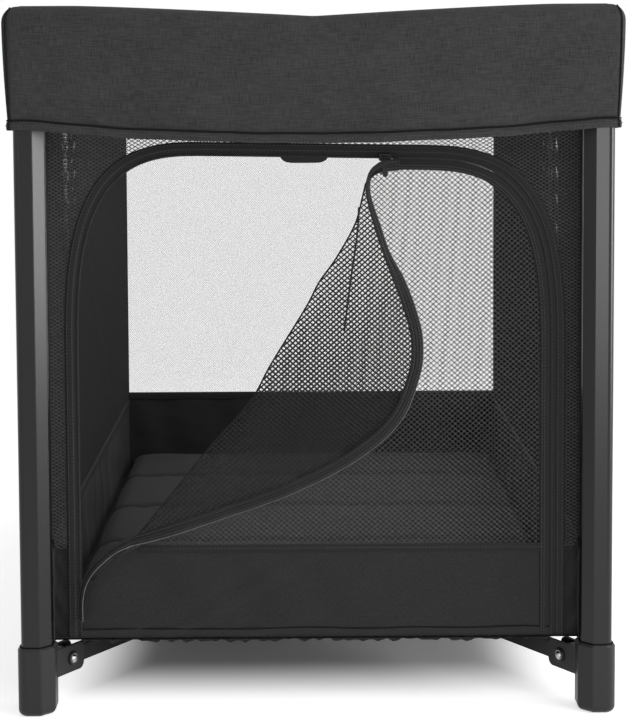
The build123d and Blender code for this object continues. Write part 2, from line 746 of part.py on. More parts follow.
def rail_cover():
    """Cloth sleeve over the top rails, open below, in four mitred runs."""
    below = cover_hem - COVER_HEM_SAG - CUT_PAST
    ring = cover_ring(cover_hem, 0) - cover_ring(below, COVER_WALL)
    inner_x = 2 * (leg_x + cover_out - COVER_WALL)
    inner_y = 2 * (leg_y + cover_out - COVER_WALL)
    lift = net_top + CLOTH_GAP
    ring -= Pos(0, 0, lift / 2) * Box(inner_x, inner_y, lift)
    pocket = LEG_SIZE + 2 * (CORNER_WALL + CLOTH_GAP)
    pocket_height = COVER_TOP - COVER_WALL - lift
    for side_x, side_y in CORNERS.values():
        cut = Box(pocket, pocket, pocket_height)
        ring -= at_leg(side_x, side_y) * Pos(0, 0, lift + pocket_height / 2) * cut
    return Compound([solid for side in SIDES for solid in (ring & mitre(side)).solids()])


def mattress_length_view():
    """Length view of the mattress: a crowned channel between each two seams."""
    half = mattress_length / 2
    inner = half - MATTRESS_BULGE
    seam_count = MATTRESS_CHANNELS - 1
    seams = [(index - (seam_count - 1) / 2) * mattress_seam_pitch for index in range(seam_count)]
    edges = [-inner, *seams, inner]
    heights = [MATTRESS_EDGE] + [MATTRESS_SEAM] * len(seams) + [MATTRESS_EDGE]
    with BuildSketch() as view:
        with BuildLine():
            Line((-inner, 0), (inner, 0))
            for side in (-1, 1):
                middle = (side * half, MATTRESS_EDGE / 2)
                ThreePointArc((side * inner, 0), middle, (side * inner, MATTRESS_EDGE))
            for index in range(MATTRESS_CHANNELS):
                start, end = edges[index], edges[index + 1]
                crown = ((start + end) / 2, MATTRESS_CROWN)
                ThreePointArc((start, heights[index]), crown, (end, heights[index + 1]))
        make_face()
    return view.sketch


def mattress_width_view():
    """Width view of the mattress: drawn-in sides under a broad crown."""
    half = mattress_width / 2
    inner = half - MATTRESS_BULGE
    with BuildSketch() as view:
        with BuildLine():
            Line((-inner, 0), (inner, 0))
            for side in (-1, 1):
                middle = (side * half, MATTRESS_EDGE / 2)
                ThreePointArc((side * inner, 0), middle, (side * inner, MATTRESS_EDGE))
            crown = (0, MATTRESS_CROWN + MATTRESS_BULGE)
            ThreePointArc((-inner, MATTRESS_EDGE), crown, (inner, MATTRESS_EDGE))
        make_face()
    return view.sketch


def mattress():
    """Quilted mattress with crossing channels, lying on the floor panel."""
    lengthwise = extrude(Plane.YZ * mattress_length_view(), amount=mattress_width, both=True)
    crosswise = extrude(Plane.XZ * mattress_width_view(), amount=mattress_length, both=True)
    return Pos(0, 0, mattress_z) * (lengthwise & crosswise)


def floor_panel():
    """Cloth floor that lies on the hub and joins the foot of the walls."""
    width = 2 * (wall_half_x - CLOTH_GAP)
    length = 2 * (wall_half_y - CLOTH_GAP)
    return Pos(0, 0, floor_z + FLOOR_THICKNESS / 2) * Box(width, length, FLOOR_THICKNESS)


SIDES = ("front", "back", "left", "right")


def main():
    """Build and write every node."""
    os.makedirs("parts", exist_ok=True)
    for name, corner in CORNERS.items():
        save(f"leg_tube_{name}", leg_tube(*corner))
        save(f"foot_cap_{name}", foot_cap(*corner))
        save(f"arm_bracket_{name}", arm_bracket(*corner))
        save(f"corner_bracket_{name}", corner_bracket(*corner))
        save(f"leg_pins_{name}", leg_pins(*corner))
        save(f"floor_arm_{name}", arm(*corner))
        save(f"cross_rail_{name}", half_rail(*corner, "x"))
        save(f"long_rail_{name}", half_rail(*corner, "y"))
    for side in SIDES:
        save(f"rail_lock_{side}", rail_lock(side))
        save(f"lock_pins_{side}", lock_pins(side))
        save(f"lock_button_{side}", lock_button(side))
    save("hub", hub())
    save("hub_pins", hub_pins())
    save("hub_foot", hub_foot())
    save("hub_cap", hub_cap())
    save("floor_panel", floor_panel())
    save("mattress", mattress())
    save("front_net", front_net())
    save("back_net", wall_net(back_plane, wall_half_x - CLOTH_GAP))
    save("left_net", wall_net(left_plane, wall_half_y - CLOTH_GAP))
    save("right_net", wall_net(right_plane, wall_half_y - CLOTH_GAP))
    save("lower_band", lower_band())
    save("door_zip", door_zip())
    save("door_flap", door_flap())
    save("zip_slider", zip_slider())
    save("zip_pull", zip_pull())
    save("rail_cover", rail_cover())


main()
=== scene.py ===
"""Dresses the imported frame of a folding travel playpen: cloth, nets, zip, mat, finishes, light and camera."""

from __future__ import annotations

import json
import logging
import math
from dataclasses import dataclass
from enum import Enum
from typing import Callable, Sequence

import bmesh
import bpy
import numpy as np
from mathutils import Matrix, Vector
from mathutils.bvhtree import BVHTree

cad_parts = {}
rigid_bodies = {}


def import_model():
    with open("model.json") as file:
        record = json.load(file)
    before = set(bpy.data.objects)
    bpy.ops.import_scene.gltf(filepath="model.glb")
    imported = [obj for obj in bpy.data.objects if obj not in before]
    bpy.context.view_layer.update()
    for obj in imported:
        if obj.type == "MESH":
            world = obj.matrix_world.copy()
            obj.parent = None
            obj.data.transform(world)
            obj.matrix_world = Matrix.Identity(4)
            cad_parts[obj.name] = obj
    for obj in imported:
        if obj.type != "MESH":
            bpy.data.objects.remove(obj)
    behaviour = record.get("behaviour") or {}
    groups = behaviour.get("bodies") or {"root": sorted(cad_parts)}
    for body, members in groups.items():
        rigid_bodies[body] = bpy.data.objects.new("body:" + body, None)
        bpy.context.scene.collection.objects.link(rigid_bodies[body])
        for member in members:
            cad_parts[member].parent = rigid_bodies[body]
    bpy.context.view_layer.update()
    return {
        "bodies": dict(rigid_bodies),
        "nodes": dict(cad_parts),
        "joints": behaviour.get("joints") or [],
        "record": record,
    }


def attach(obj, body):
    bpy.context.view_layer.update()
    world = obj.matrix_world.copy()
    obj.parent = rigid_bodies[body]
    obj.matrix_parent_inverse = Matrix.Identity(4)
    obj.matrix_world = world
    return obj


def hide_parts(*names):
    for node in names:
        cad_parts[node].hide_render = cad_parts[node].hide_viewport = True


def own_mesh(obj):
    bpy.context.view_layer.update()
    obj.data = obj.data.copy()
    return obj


LOG = logging.getLogger("playpen")
CLOTH_UV = "cloth"
MM_PER_M = 1000.0
TINY = 1e-9
Array = np.ndarray
Path = np.ndarray
Pair = tuple[float, float]
Profile = Sequence[Pair]
Point = tuple[float, float, float]
Colour = tuple[float, float, float, float]
Piece = bpy.types.Object
Node = bpy.types.Node
Tree = bpy.types.NodeTree


def linear(code: str) -> Colour:
    """Turn an sRGB hex value into a linear colour.

    Args:
        code: Colour as #rrggbb.

    Returns:
        Red, green, blue and full opacity.
    """
    values = []
    for start in (1, 3, 5):
        channel = int(code[start : start + 2], 16) / 255
        values.append(channel / 12.92 if channel <= 0.04045 else ((channel + 0.055) / 1.055) ** 2.4)
    return (values[0], values[1], values[2], 1.0)


def add_node(tree: Tree, kind: str, settings: dict | None = None, links: dict | None = None) -> Node:
    """Add one node with its settings and links.

    Args:
        tree: Tree that gets the node.
        kind: Blender's type name of the node.
        settings: Values by attribute name, or by input name or number.
        links: What feeds an input, by its name or number: a socket, or a node for its first output.

    Returns:
        The new node.
    """
    node = tree.nodes.new(kind)
    for key, value in (settings or {}).items():
        if isinstance(key, str) and hasattr(node, key):
            setattr(node, key, value)
        else:
            node.inputs[key].default_value = value
    for key, source in (links or {}).items():
        socket = source.outputs[0] if isinstance(source, Node) else source
        tree.links.new(socket, node.inputs[key])
    return node


class Side(Enum):
    """The four sides of the playpen."""

    FRONT = "front"
    BACK = "back"
    LEFT = "left"
    RIGHT = "right"


class Corner(Enum):
    """The four corners, with their signs along X and Y."""

    FRONT_LEFT = ("front_left", -1, -1)
    FRONT_RIGHT = ("front_right", 1, -1)
    BACK_RIGHT = ("back_right", 1, 1)
    BACK_LEFT = ("back_left", -1, 1)


# The sides in the order in which the rail cover runs round them.
AROUND = (Side.FRONT, Side.RIGHT, Side.BACK, Side.LEFT)


@dataclass(frozen=True)
class Finish:
    """A finish with two tones, and the pattern that mixes them."""

    name: str
    dark: str
    light: str
    roughness: float
    grain_mm: float
    bump_mm: float = 0.05
    metallic: float = 0.0
    sheen: float = 0.0
    specular: float = 0.5
    sheen_roughness: float = 0.6

    def material(self) -> bpy.types.Material:
        """Make the material, or give the one already made.

        Returns:
            The finish as a Blender material.
        """
        found = bpy.data.materials.get(self.name)
        if found is not None:
            return found
        material = bpy.data.materials.new(self.name)
        material.use_nodes = True
        tree = material.node_tree
        tree.nodes.clear()
        shade = self.pattern(tree)
        tones = {"data_type": "RGBA", 6: linear(self.dark), 7: linear(self.light)}
        colour = add_node(tree, "ShaderNodeMix", tones, {0: shade})
        depth = {"Strength": 1.0, "Distance": self.bump_mm / MM_PER_M}
        relief = add_node(tree, "ShaderNodeBump", depth, {"Height": shade})
        gloss = {
            "Roughness": self.roughness,
            "Metallic": self.metallic,
            "Sheen Weight": self.sheen,
            "Sheen Roughness": self.sheen_roughness,
            "Specular IOR Level": self.specular,
        }
        links = {"Base Color": colour.outputs[2], "Normal": relief}
        surface = add_node(tree, "ShaderNodeBsdfPrincipled", gloss, links)
        add_node(tree, "ShaderNodeOutputMaterial", None, {"Surface": surface})
        return material

    def pattern(self, tree: Tree) -> Node:
        """Mix the two tones by a fine even grain.

        Args:
            tree: Tree of the material.

        Returns:
            Node with the share of the light tone.
        """
        place = add_node(tree, "ShaderNodeTexCoord")
        fineness = {"Scale": MM_PER_M / self.grain_mm, "Detail": 3.0, "Roughness": 0.6}
        grain = add_node(tree, "ShaderNodeTexNoise", fineness, {"Vector": place.outputs["Object"]})
        limits = {"From Min": 0.3, "From Max": 0.7}
        return add_node(tree, "ShaderNodeMapRange", limits, {"Value": grain})


@dataclass(frozen=True)
class WovenFinish(Finish):
    """Cloth woven from uneven yarns that cross each other, drawn along the cloth's own flat map."""

    slub_mm: float = 18.0
    contrast: float = 0.16
    mottle_mm: float = 60.0
    mottle_share: float = 0.25
    middle: float = 1.125

    def pattern(self, tree: Tree) -> Node:
        """Cross two sets of uneven yarns, with a slow mottle over them.

        Args:
            tree: Tree of the material.

        Returns:
            Node with the share of the light tone.
        """
        flat = add_node(tree, "ShaderNodeUVMap", {"uv_map": CLOTH_UV})
        fine, long = MM_PER_M / self.grain_mm, MM_PER_M / self.slub_mm
        spun = {"Scale": 1.0, "Detail": 2.0, "Roughness": 0.55}
        yarns = []
        for start, scale in ((0.0, (fine, long, 1.0)), (7.3, (long, fine, 1.0))):
            laid = {"Location": (start, start, start), "Scale": scale}
            place = add_node(tree, "ShaderNodeMapping", laid, {"Vector": flat})
            yarns.append(add_node(tree, "ShaderNodeTexNoise", spun, {"Vector": place}))
        weave = add_node(tree, "ShaderNodeMath", {"operation": "ADD"}, dict(enumerate(yarns)))
        cloudy = {"Scale": MM_PER_M / self.mottle_mm, "Detail": 2.0}
        mottle = add_node(tree, "ShaderNodeTexNoise", cloudy, {"Vector": flat})
        links = {0: mottle, 2: weave}
        tone = add_node(tree, "ShaderNodeMath", {"operation": "MULTIPLY_ADD", 1: self.mottle_share}, links)
        limits = {"From Min": self.middle - self.contrast, "From Max": self.middle + self.contrast}
        return add_node(tree, "ShaderNodeMapRange", limits, {"Value": tone})


@dataclass(frozen=True)
class RibbedFinish(Finish):
    """Narrow woven tape with ribs across it, drawn along the tape's own flat map."""

    rib_mm: float = 1.6
    radians_per_unit: float = 20.0

    def pattern(self, tree: Tree) -> Node:
        """Set ribs across the tape and break them with a little grain.

        Args:
            tree: Tree of the material.

        Returns:
            Node with the share of the light tone.
        """
        flat = add_node(tree, "ShaderNodeUVMap", {"uv_map": CLOTH_UV})
        ribbed = {
            "wave_type": "BANDS",
            "bands_direction": "X",
            "Scale": MM_PER_M / self.rib_mm / self.radians_per_unit * math.pi,
            "Distortion": 1.2,
            "Detail": 2.0,
            "Detail Scale": 1.5,
        }
        ribs = add_node(tree, "ShaderNodeTexWave", ribbed, {"Vector": flat})
        fineness = {"Scale": MM_PER_M / self.grain_mm, "Detail": 2.0}
        grain = add_node(tree, "ShaderNodeTexNoise", fineness, {"Vector": flat})
        links = {0: ribs.outputs[1], 1: grain}
        tone = add_node(tree, "ShaderNodeMath", {"operation": "MULTIPLY"}, links)
        limits = {"From Min": 0.05, "From Max": 0.55}
        return add_node(tree, "ShaderNodeMapRange", limits, {"Value": tone})


# Melange polyester canvas, piece-dyed: light and dark yarns cross, so it looks like linen.
# Its yarns are drawn coarser than they are, so that they show.
MELANGE_CANVAS = WovenFinish(
    "melange polyester canvas", "#292929", "#454545", 0.95, 0.9, 0.08,
    sheen=0.03, specular=0.1, slub_mm=14.0, contrast=0.36,
)
# The same canvas in a darker tone: painted shade, for the dark lines of seams, on the corner piping and on the
# cords laid in the hem grooves.
SEAM_SHADE_CANVAS = Finish("melange canvas, painted seam shade", "#141414", "#202020", 0.9, 1.6, 0.04, specular=0.1)
# Plain-weave polyester: almost black, dull, with a faint sheen where it creases. Threads drawn coarser.
PLAIN_POLYESTER = WovenFinish(
    "plain-weave polyester", "#252525", "#2e2e2e", 0.85, 1.4, 0.06,
    sheen=0.03, specular=0.15, slub_mm=4.0, contrast=0.3,
)
# Brushed polyester on the quilted mat: soft, dark, with a low nap that lifts at glancing angles.
BRUSHED_POLYESTER = WovenFinish(
    "brushed polyester", "#323232", "#404040", 0.95, 1.6, 0.08,
    sheen=0.08, specular=0.1, slub_mm=5.0, contrast=0.3,
)
# Warp-knitted polyester net: black multifilament thread, dull; its grey tone is painted light, for threads that
# the light catches.
LIT_NET = Finish("warp-knitted polyester net, painted lit", "#3c3c3c", "#565656", 0.8, 3.0, 0.03, specular=0.2)
# The same net where it is pulled tight, on the closed walls and the turned corner, in a darker tone: painted
# shade, as less of each thread faces the light there.
SHADED_NET = Finish("polyester net, painted shade", "#202020", "#333333", 0.8, 3.0, 0.03, specular=0.15)
# Grosgrain binding folded over a raw edge: fine ribs across the tape.
GROSGRAIN = RibbedFinish("grosgrain binding", "#1c1c1c", "#292929", 0.8, 1.2, 0.05, specular=0.2, rib_mm=1.0)
# Woven zip tape: flatter than the binding, and a little darker.
ZIP_TAPE = RibbedFinish("woven zip tape", "#151515", "#202020", 0.75, 1.0, 0.04, specular=0.25, rib_mm=0.9)
# Polyester sewing thread: a shade paler than the cloth it holds.
SEWING_THREAD = Finish("polyester sewing thread", "#313131", "#474747", 0.6, 1.0, 0.03, specular=0.3)
# Polyester cord at the edge of a tape, in a pale tone: painted highlight, for the thin bright line along the
# edge.
EDGE_HIGHLIGHT_CORD = Finish("edge cord, painted highlight", "#4a4a4a", "#636363", 0.5, 1.0, 0.02, specular=0.4)
# Nylon zip coil: black and dull, so a row of teeth draws one fine ridged line.
NYLON_COIL = Finish("nylon zip coil", "#232323", "#3a3a3a", 0.5, 1.5, 0.02, specular=0.2)
# Powder-coated aluminium tube: satin anthracite with the faint orange peel of the baked powder.
POWDER_COAT = Finish("powder-coated aluminium", "#111111", "#171717", 0.28, 1.4, 0.006, specular=0.32)
# Injection-moulded polypropylene with a spark-eroded grain: matte, dark grey.
MOULDED_PP = Finish("moulded polypropylene", "#1c1c1c", "#262626", 0.4, 0.9, 0.02, specular=0.27)
# Almost black ring between tube and foot: painted shade for the shadow gap where the tube enters the foot.
SHADOW_GAP_TONE = Finish("painted shadow gap", "#080808", "#0e0e0e", 0.8, 1.0, 0.01, specular=0.1)
# Zinc-plated steel rivets, polished by the riveting tool.
PLATED_STEEL = Finish("zinc-plated steel", "#9c9c9c", "#c8c8c8", 0.22, 2.5, 0.01, metallic=1.0)
# Die-cast zinc slider with a black nickel finish: so dark and dull that it hardly stands out from the tape.
BLACK_NICKEL = Finish("black nickel zinc casting", "#0e0e0e", "#161616", 0.5, 2.0, 0.01, specular=0.2)


@dataclass(frozen=True)
class Plan:
    """Sizes of the frame that the cloth hangs on, at rest and folded, in metres."""

    leg_x: float = 0.318
    leg_y: float = 0.508
    leg_half: float = 0.017
    floor_z: float = 0.08
    band_top: float = 0.192
    net_top: float = 0.738
    pivots: float = 0.1
    arm_length: float = 0.49933
    fold_limit: float = math.radians(78)

    @property
    def wall_x(self) -> float:
        """Plane of the side walls."""
        return self.leg_x - self.leg_half

    @property
    def wall_y(self) -> float:
        """Plane of the front and back walls."""
        return self.leg_y - self.leg_half

    def folded(self) -> Pair:
        """Work out where the leg axes stand when the frame is folded.

        Returns:
            Half the legs' spread along X and along Y.
        """
        diagonal = math.hypot(self.leg_x, self.leg_y)
        share = (self.pivots + self.arm_length * math.cos(self.fold_limit)) / diagonal
        return self.leg_x * share, self.leg_y * share

    def wall_half(self, side: Side) -> float:
        """Half the width of a wall between its legs."""
        return self.wall_x if side in (Side.FRONT, Side.BACK) else self.wall_y

    def on_wall(self, side: Side, flat: Path, out: Array | float = 0.0) -> Array:
        """Place points of a wall's own plane in the frame.

        Args:
            side: Wall that holds the points.
            flat: Points along the wall and up it.
            out: How far each point stands out of the wall, away from the inside.

        Returns:
            The points in three dimensions.
        """
        along, up = flat[..., 0], flat[..., 1]
        away = np.zeros_like(along) + out
        sign = -1.0 if side in (Side.FRONT, Side.LEFT) else 1.0
        if side in (Side.FRONT, Side.BACK):
            return np.stack([along, sign * (self.wall_y + away), up], axis=-1)
        return np.stack([sign * (self.wall_x + away), along, up], axis=-1)


@dataclass(frozen=True)
class Wave:
    """Unevenness of a cloth: a few sine waves with fixed random lengths and phases."""

    seed: int
    length: float
    height: float
    count: int = 5
    spread: Pair = (0.55, 1.8)

    def at(self, along: Array) -> Array:
        """Add the waves up.

        Args:
            along: Places along the cloth.

        Returns:
            Heights, between about minus and plus the wave's height.
        """
        chance = np.random.default_rng(self.seed)
        total = np.zeros_like(along, dtype=float)
        for _ in range(self.count):
            length = self.length * chance.uniform(*self.spread)
            total += np.sin(2 * math.pi * along / length + chance.uniform(0, 2 * math.pi))
        return total / math.sqrt(2 * self.count) * self.height


@dataclass(frozen=True)
class Ride:
    """How a piece follows the fold: the body that carries it, and an axis, anchor and keep for drawing it
    together, which this script stores but does not apply.
    """

    body: str
    axis: Point | None = None
    anchor: Point = (0.0, 0.0, 0.0)
    keep: float = 1.0

    def hold(self, piece: Piece, slot: str, *nodes: str) -> None:
        """Fasten a finished piece to its body.

        Args:
            piece: Finished mesh.
            slot: Material slot of the record; not used.
            nodes: Solids that the piece stands for.
        """
        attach(piece, self.body)
        if self.axis is not None:
            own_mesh(piece)
        if nodes:
            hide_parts(*nodes)
        LOG.info("%s rides on %s, %d faces", piece.name, self.body, len(piece.data.polygons))

    def hold_all(self, pieces: Sequence[Piece], slot: str) -> None:
        """Fasten trims, which stand for no solid."""
        for piece in pieces:
            self.hold(piece, slot)


def wall_ride(plan: Plan, side: Side, inset: float) -> Ride:
    """Give the ride of cloth that gathers between two legs.

    Args:
        plan: Sizes of the frame.
        side: Side that the cloth is on.
        inset: How far from the legs' axes the gathered part ends.

    Returns:
        Ride on one of the two legs.
    """
    fold_x, fold_y = plan.folded()
    if side in (Side.FRONT, Side.BACK):
        cut = plan.leg_x - inset
        return Ride(f"leg_{side.value}_right", (1.0, 0.0, 0.0), (cut, 0.0, 0.0), (fold_x - inset) / cut)
    cut = plan.leg_y - inset
    return Ride(f"leg_front_{side.value}", (0.0, 1.0, 0.0), (0.0, -cut, 0.0), (fold_y - inset) / cut)


def distances(path: Path) -> Array:
    """Distance along a path at each of its points."""
    return np.concatenate([[0], np.cumsum(np.linalg.norm(np.diff(path, axis=0), axis=1))])


def at_height(flat: Path, height: Array | float) -> Path:
    """Lift points of the plan to a height, or each to its own."""
    return np.column_stack([flat, np.zeros(len(flat)) + height])


def smooth_path(points: Profile, step: float, samples: int = 40) -> Path:
    """Run a smooth curve through points and sample it evenly.

    Args:
        points: Points that the curve passes through.
        step: Wanted distance between samples.
        samples: Samples between two points before they are evened out.

    Returns:
        Samples along the curve.
    """
    knots = np.array(points, float)
    ends = np.vstack([2 * knots[0] - knots[1], knots, 2 * knots[-1] - knots[-2]])
    share = np.linspace(0, 1, samples, endpoint=False)[:, None]
    runs = []
    for index in range(len(knots) - 1):
        before, start, end, after = ends[index : index + 4]
        bend = 2 * before - 5 * start + 4 * end - after
        twist = 3 * start - before - 3 * end + after
        runs.append(0.5 * (2 * start + (end - before) * share + bend * share**2 + twist * share**3))
    runs.append(knots[-1:])
    return resample(np.vstack(runs), step)


def resample(path: Path, step: float) -> Path:
    """Sample a path at even distances.

    Args:
        path: Points along the path.
        step: Wanted distance between samples.

    Returns:
        Evenly spaced points, with both ends kept.
    """
    lengths = distances(path)
    count = max(2, int(round(lengths[-1] / step)) + 1)
    stations = np.linspace(0, lengths[-1], count)
    return np.stack([np.interp(stations, lengths, path[:, axis]) for axis in range(path.shape[1])], axis=1)


def left_of(path: Path) -> Path:
    """Unit vectors to the left of a flat path."""
    heading = np.gradient(path, axis=0)
    heading /= np.linalg.norm(heading, axis=1, keepdims=True)
    return np.stack([-heading[:, 1], heading[:, 0]], axis=1)


def show(thing: bpy.types.Object) -> None:
    """Put an object in the scene."""
    bpy.context.scene.collection.objects.link(thing)


def mesh_piece(name: str, points: Array, faces: Sequence[Sequence[int]], finish: Finish) -> Piece:
    """Make a mesh object in the shared frame.

    Args:
        name: Name of the piece.
        points: Its points.
        faces: Its faces, as numbers of points.
        finish: Its finish.

    Returns:
        The new object.
    """
    mesh = bpy.data.meshes.new(name)
    mesh.from_pydata([tuple(point) for point in points], [], [tuple(face) for face in faces])
    mesh.materials.append(finish.material())
    mesh.update()
    mesh.shade_smooth()
    piece = bpy.data.objects.new(name, mesh)
    show(piece)
    return piece


def ring_faces(levels: int, count: int, capped: bool = True, first: int = 0) -> list[tuple[int, ...]]:
    """Join rings of points that stand on each other.

    Args:
        levels: Number of rings.
        count: Points in each ring.
        capped: Whether the first and the last ring are closed.
        first: Number of the first ring's first point.

    Returns:
        Faces, as numbers of points.
    """
    faces: list[tuple[int, ...]] = []
    for base in range(first, first + (levels - 1) * count, count):
        for index in range(count):
            near, far = base + index, base + (index + 1) % count
            faces.append((near, far, far + count, near + count))
    if capped:
        last = first + (levels - 1) * count
        faces.append(tuple(reversed(range(first, first + count))))
        faces.append(tuple(range(last, last + count)))
    return faces


def vertex_points(mesh: bpy.types.Mesh) -> Array:
    """Read the points of a mesh.

    Args:
        mesh: Mesh to read.

    Returns:
        One row for each point.
    """
    points = np.zeros(len(mesh.vertices) * 3, np.float32)
    mesh.vertices.foreach_get("co", points)
    return points.reshape(-1, 3)


def set_flat_map(mesh: bpy.types.Mesh, flat: Array) -> None:
    """Tell each point of a mesh its place in the flat cut.

    Args:
        mesh: Mesh that gets the map.
        flat: Place of each point.
    """
    layer = mesh.uv_layers.get(CLOTH_UV) or mesh.uv_layers.new(name=CLOTH_UV)
    loops = np.zeros(len(mesh.loops), np.int32)
    mesh.loops.foreach_get("vertex_index", loops)
    layer.data.foreach_set("uv", flat[loops].astype(np.float32).ravel())


@dataclass
class ClothGrid:
    """A sheet of cloth as rows and columns of points, each with its place in the flat cut."""

    points: Array
    flat: Array
    closed: bool = False
    flip: bool = False

    def normals(self) -> Array:
        """Work out the outward direction at each point.

        Returns:
            Unit vectors in the shape of the points.
        """
        if self.closed:
            across = np.roll(self.points, -1, axis=1) - np.roll(self.points, 1, axis=1)
        else:
            across = np.gradient(self.points, axis=1)
        down = np.gradient(self.points, axis=0)
        out = np.cross(across, down)
        out /= np.maximum(np.linalg.norm(out, axis=2, keepdims=True), 1e-12)
        return -out if self.flip else out

    def face(self, out: Array | Point) -> ClothGrid:
        """Turn the sheet's outside towards a direction, given for all points or for each."""
        self.flip = bool((self.normals() * out).sum() < 0)
        return self

    def area(self, columns: Sequence[int] | None = None) -> float:
        """Measure the cloth.

        Args:
            columns: Columns that are measured, all of them if left out.

        Returns:
            Area of one face.
        """
        part = self.points if columns is None else self.points[:, columns]
        first = np.cross(part[1:, :-1] - part[:-1, :-1], part[:-1, 1:] - part[:-1, :-1])
        second = np.cross(part[1:, :-1] - part[1:, 1:], part[:-1, 1:] - part[1:, 1:])
        return float((np.linalg.norm(first, axis=2) + np.linalg.norm(second, axis=2)).sum() / 2)

    def cut(self, name: str, finish: Finish, thickness: float, columns: Sequence[int] | None = None) -> Piece:
        """Make a piece of the sheet, with its thickness.

        Args:
            name: Name of the piece.
            finish: Its finish.
            thickness: Thickness of the cloth, added inwards.
            columns: Columns that the piece keeps, all of them if left out.

        Returns:
            The piece, with the whole sheet's normals, so that neighbours join without a line.
        """
        if columns is None:
            columns = list(range(self.points.shape[1])) + ([0] if self.closed else [])
        rows, width = self.points.shape[0], len(columns)
        normals = self.normals()[:, columns].reshape(-1, 3)
        outer = self.points[:, columns].reshape(-1, 3)
        points = np.vstack([outer, outer - normals * thickness])
        layer = rows * width
        faces = []
        for row in range(rows - 1):
            for column in range(width - 1):
                near = row * width + column
                quad = (near, near + 1, near + width + 1, near + width)
                back = tuple(layer + index for index in reversed(quad))
                faces.append(tuple(reversed(quad)) if self.flip else quad)
                faces.append(tuple(reversed(back)) if self.flip else back)
        rims = [
            (list(range(width)), 1),
            (list(range(layer - width, layer)), -1),
            (list(range(0, layer, width)), -1),
            (list(range(width - 1, layer, width)), 1),
        ]
        for line, turn in rims:
            for start, end in zip(line, line[1:]):
                quad = (start, start + layer, end + layer, end)
                faces.append(quad if (turn > 0) != self.flip else tuple(reversed(quad)))
        piece = mesh_piece(name, points, faces, finish)
        set_flat_map(piece.data, np.vstack([self.flat[:, columns].reshape(-1, 2)] * 2))
        piece.data.normals_split_custom_set_from_vertices(np.vstack([normals, -normals]).tolist())
        return piece


def ribbon(path: Path, side: Array, out: Array, profile: Profile) -> ClothGrid:
    """Lay a tape along a path.

    Args:
        path: Points of the tape's middle.
        side: Unit vectors across the tape.
        out: Unit vectors away from what the tape is sewn to.
        profile: Places across the tape, and how far each stands out.

    Returns:
        The tape as a sheet, with its rows across it.
    """
    rows = [path + side * across + out * lift for across, lift in profile]
    flat = np.stack(np.meshgrid(distances(path), distances(np.array(profile))), axis=-1)
    return ClothGrid(np.stack(rows), flat).face(out)


def lens(half: float, shape: Profile) -> list[Pair]:
    """Stretch a tape's section, which is given in shares of its half width, to that width."""
    return [(half * share, lift) for share, lift in shape]


class PathTree:
    """Geometry Nodes trees that lay threads, stitches and teeth along paths."""

    KINDS = {"Pitch": "Float", "Length": "Float", "Radius": "Float", "Sides": "Int", "Material": "Material"}

    @classmethod
    def begin(cls, name: str, *inputs: str) -> Tree:
        """Start a tree with its named inputs.

        Args:
            name: Name of the tree.
            inputs: Names of its inputs.

        Returns:
            The tree, with its geometry sockets.
        """
        tree = bpy.data.node_groups.new(name, "GeometryNodeTree")
        tree.interface.new_socket("Geometry", in_out="INPUT", socket_type="NodeSocketGeometry")
        for label in inputs:
            tree.interface.new_socket(label, in_out="INPUT", socket_type=f"NodeSocket{cls.KINDS[label]}")
        tree.interface.new_socket("Geometry", in_out="OUTPUT", socket_type="NodeSocketGeometry")
        return tree

    @staticmethod
    def end(tree: Tree, source: Node, shape: Node) -> Tree:
        """Close a tree: real meshes, smooth, with the material.

        Args:
            tree: Tree to close.
            source: Its group input.
            shape: Node that makes the shape.

        Returns:
            The tree.
        """
        real = add_node(tree, "GeometryNodeRealizeInstances", None, {0: shape})
        smooth = add_node(tree, "GeometryNodeSetShadeSmooth", None, {0: real})
        links = {"Geometry": smooth, "Material": source.outputs["Material"]}
        dressed = add_node(tree, "GeometryNodeSetMaterial", None, links)
        add_node(tree, "NodeGroupOutput", None, {0: dressed})
        return tree

    @classmethod
    def thread(cls) -> Tree:
        """Sweep a round thread along each path.

        Returns:
            Tree with a radius, a number of sides and a material.
        """
        name = "swept thread"
        if name in bpy.data.node_groups:
            return bpy.data.node_groups[name]
        tree = cls.begin(name, "Radius", "Sides", "Material")
        source = add_node(tree, "NodeGroupInput")
        curve = add_node(tree, "GeometryNodeMeshToCurve", None, {"Mesh": source.outputs["Geometry"]})
        links = {"Resolution": source.outputs["Sides"], "Radius": source.outputs["Radius"]}
        ring = add_node(tree, "GeometryNodeCurvePrimitiveCircle", None, links)
        links = {"Curve": curve, "Profile Curve": ring}
        tube = add_node(tree, "GeometryNodeCurveToMesh", {"Fill Caps": True}, links)
        return cls.end(tree, source, tube)

    @classmethod
    def beads(cls) -> Tree:
        """Set one small bar at each pitch along each path, for stitches and zip teeth.

        Returns:
            Tree with a pitch, a length, a radius, a number of sides and a material.
        """
        name = "bars along a path"
        if name in bpy.data.node_groups:
            return bpy.data.node_groups[name]
        tree = cls.begin(name, *cls.KINDS)
        source = add_node(tree, "NodeGroupInput")
        curve = add_node(tree, "GeometryNodeMeshToCurve", None, {"Mesh": source.outputs["Geometry"]})
        links = {"Curve": curve, "Length": source.outputs["Pitch"]}
        spots = add_node(tree, "GeometryNodeCurveToPoints", {"mode": "LENGTH"}, links)
        links = {
            "Vertices": source.outputs["Sides"],
            "Radius": source.outputs["Radius"],
            "Depth": source.outputs["Length"],
        }
        bar = add_node(tree, "GeometryNodeMeshCylinder", None, links)
        links = {"Points": spots, "Rotation": spots.outputs["Rotation"], "Instance": bar}
        bars = add_node(tree, "GeometryNodeInstanceOnPoints", None, links)
        return cls.end(tree, source, bars)


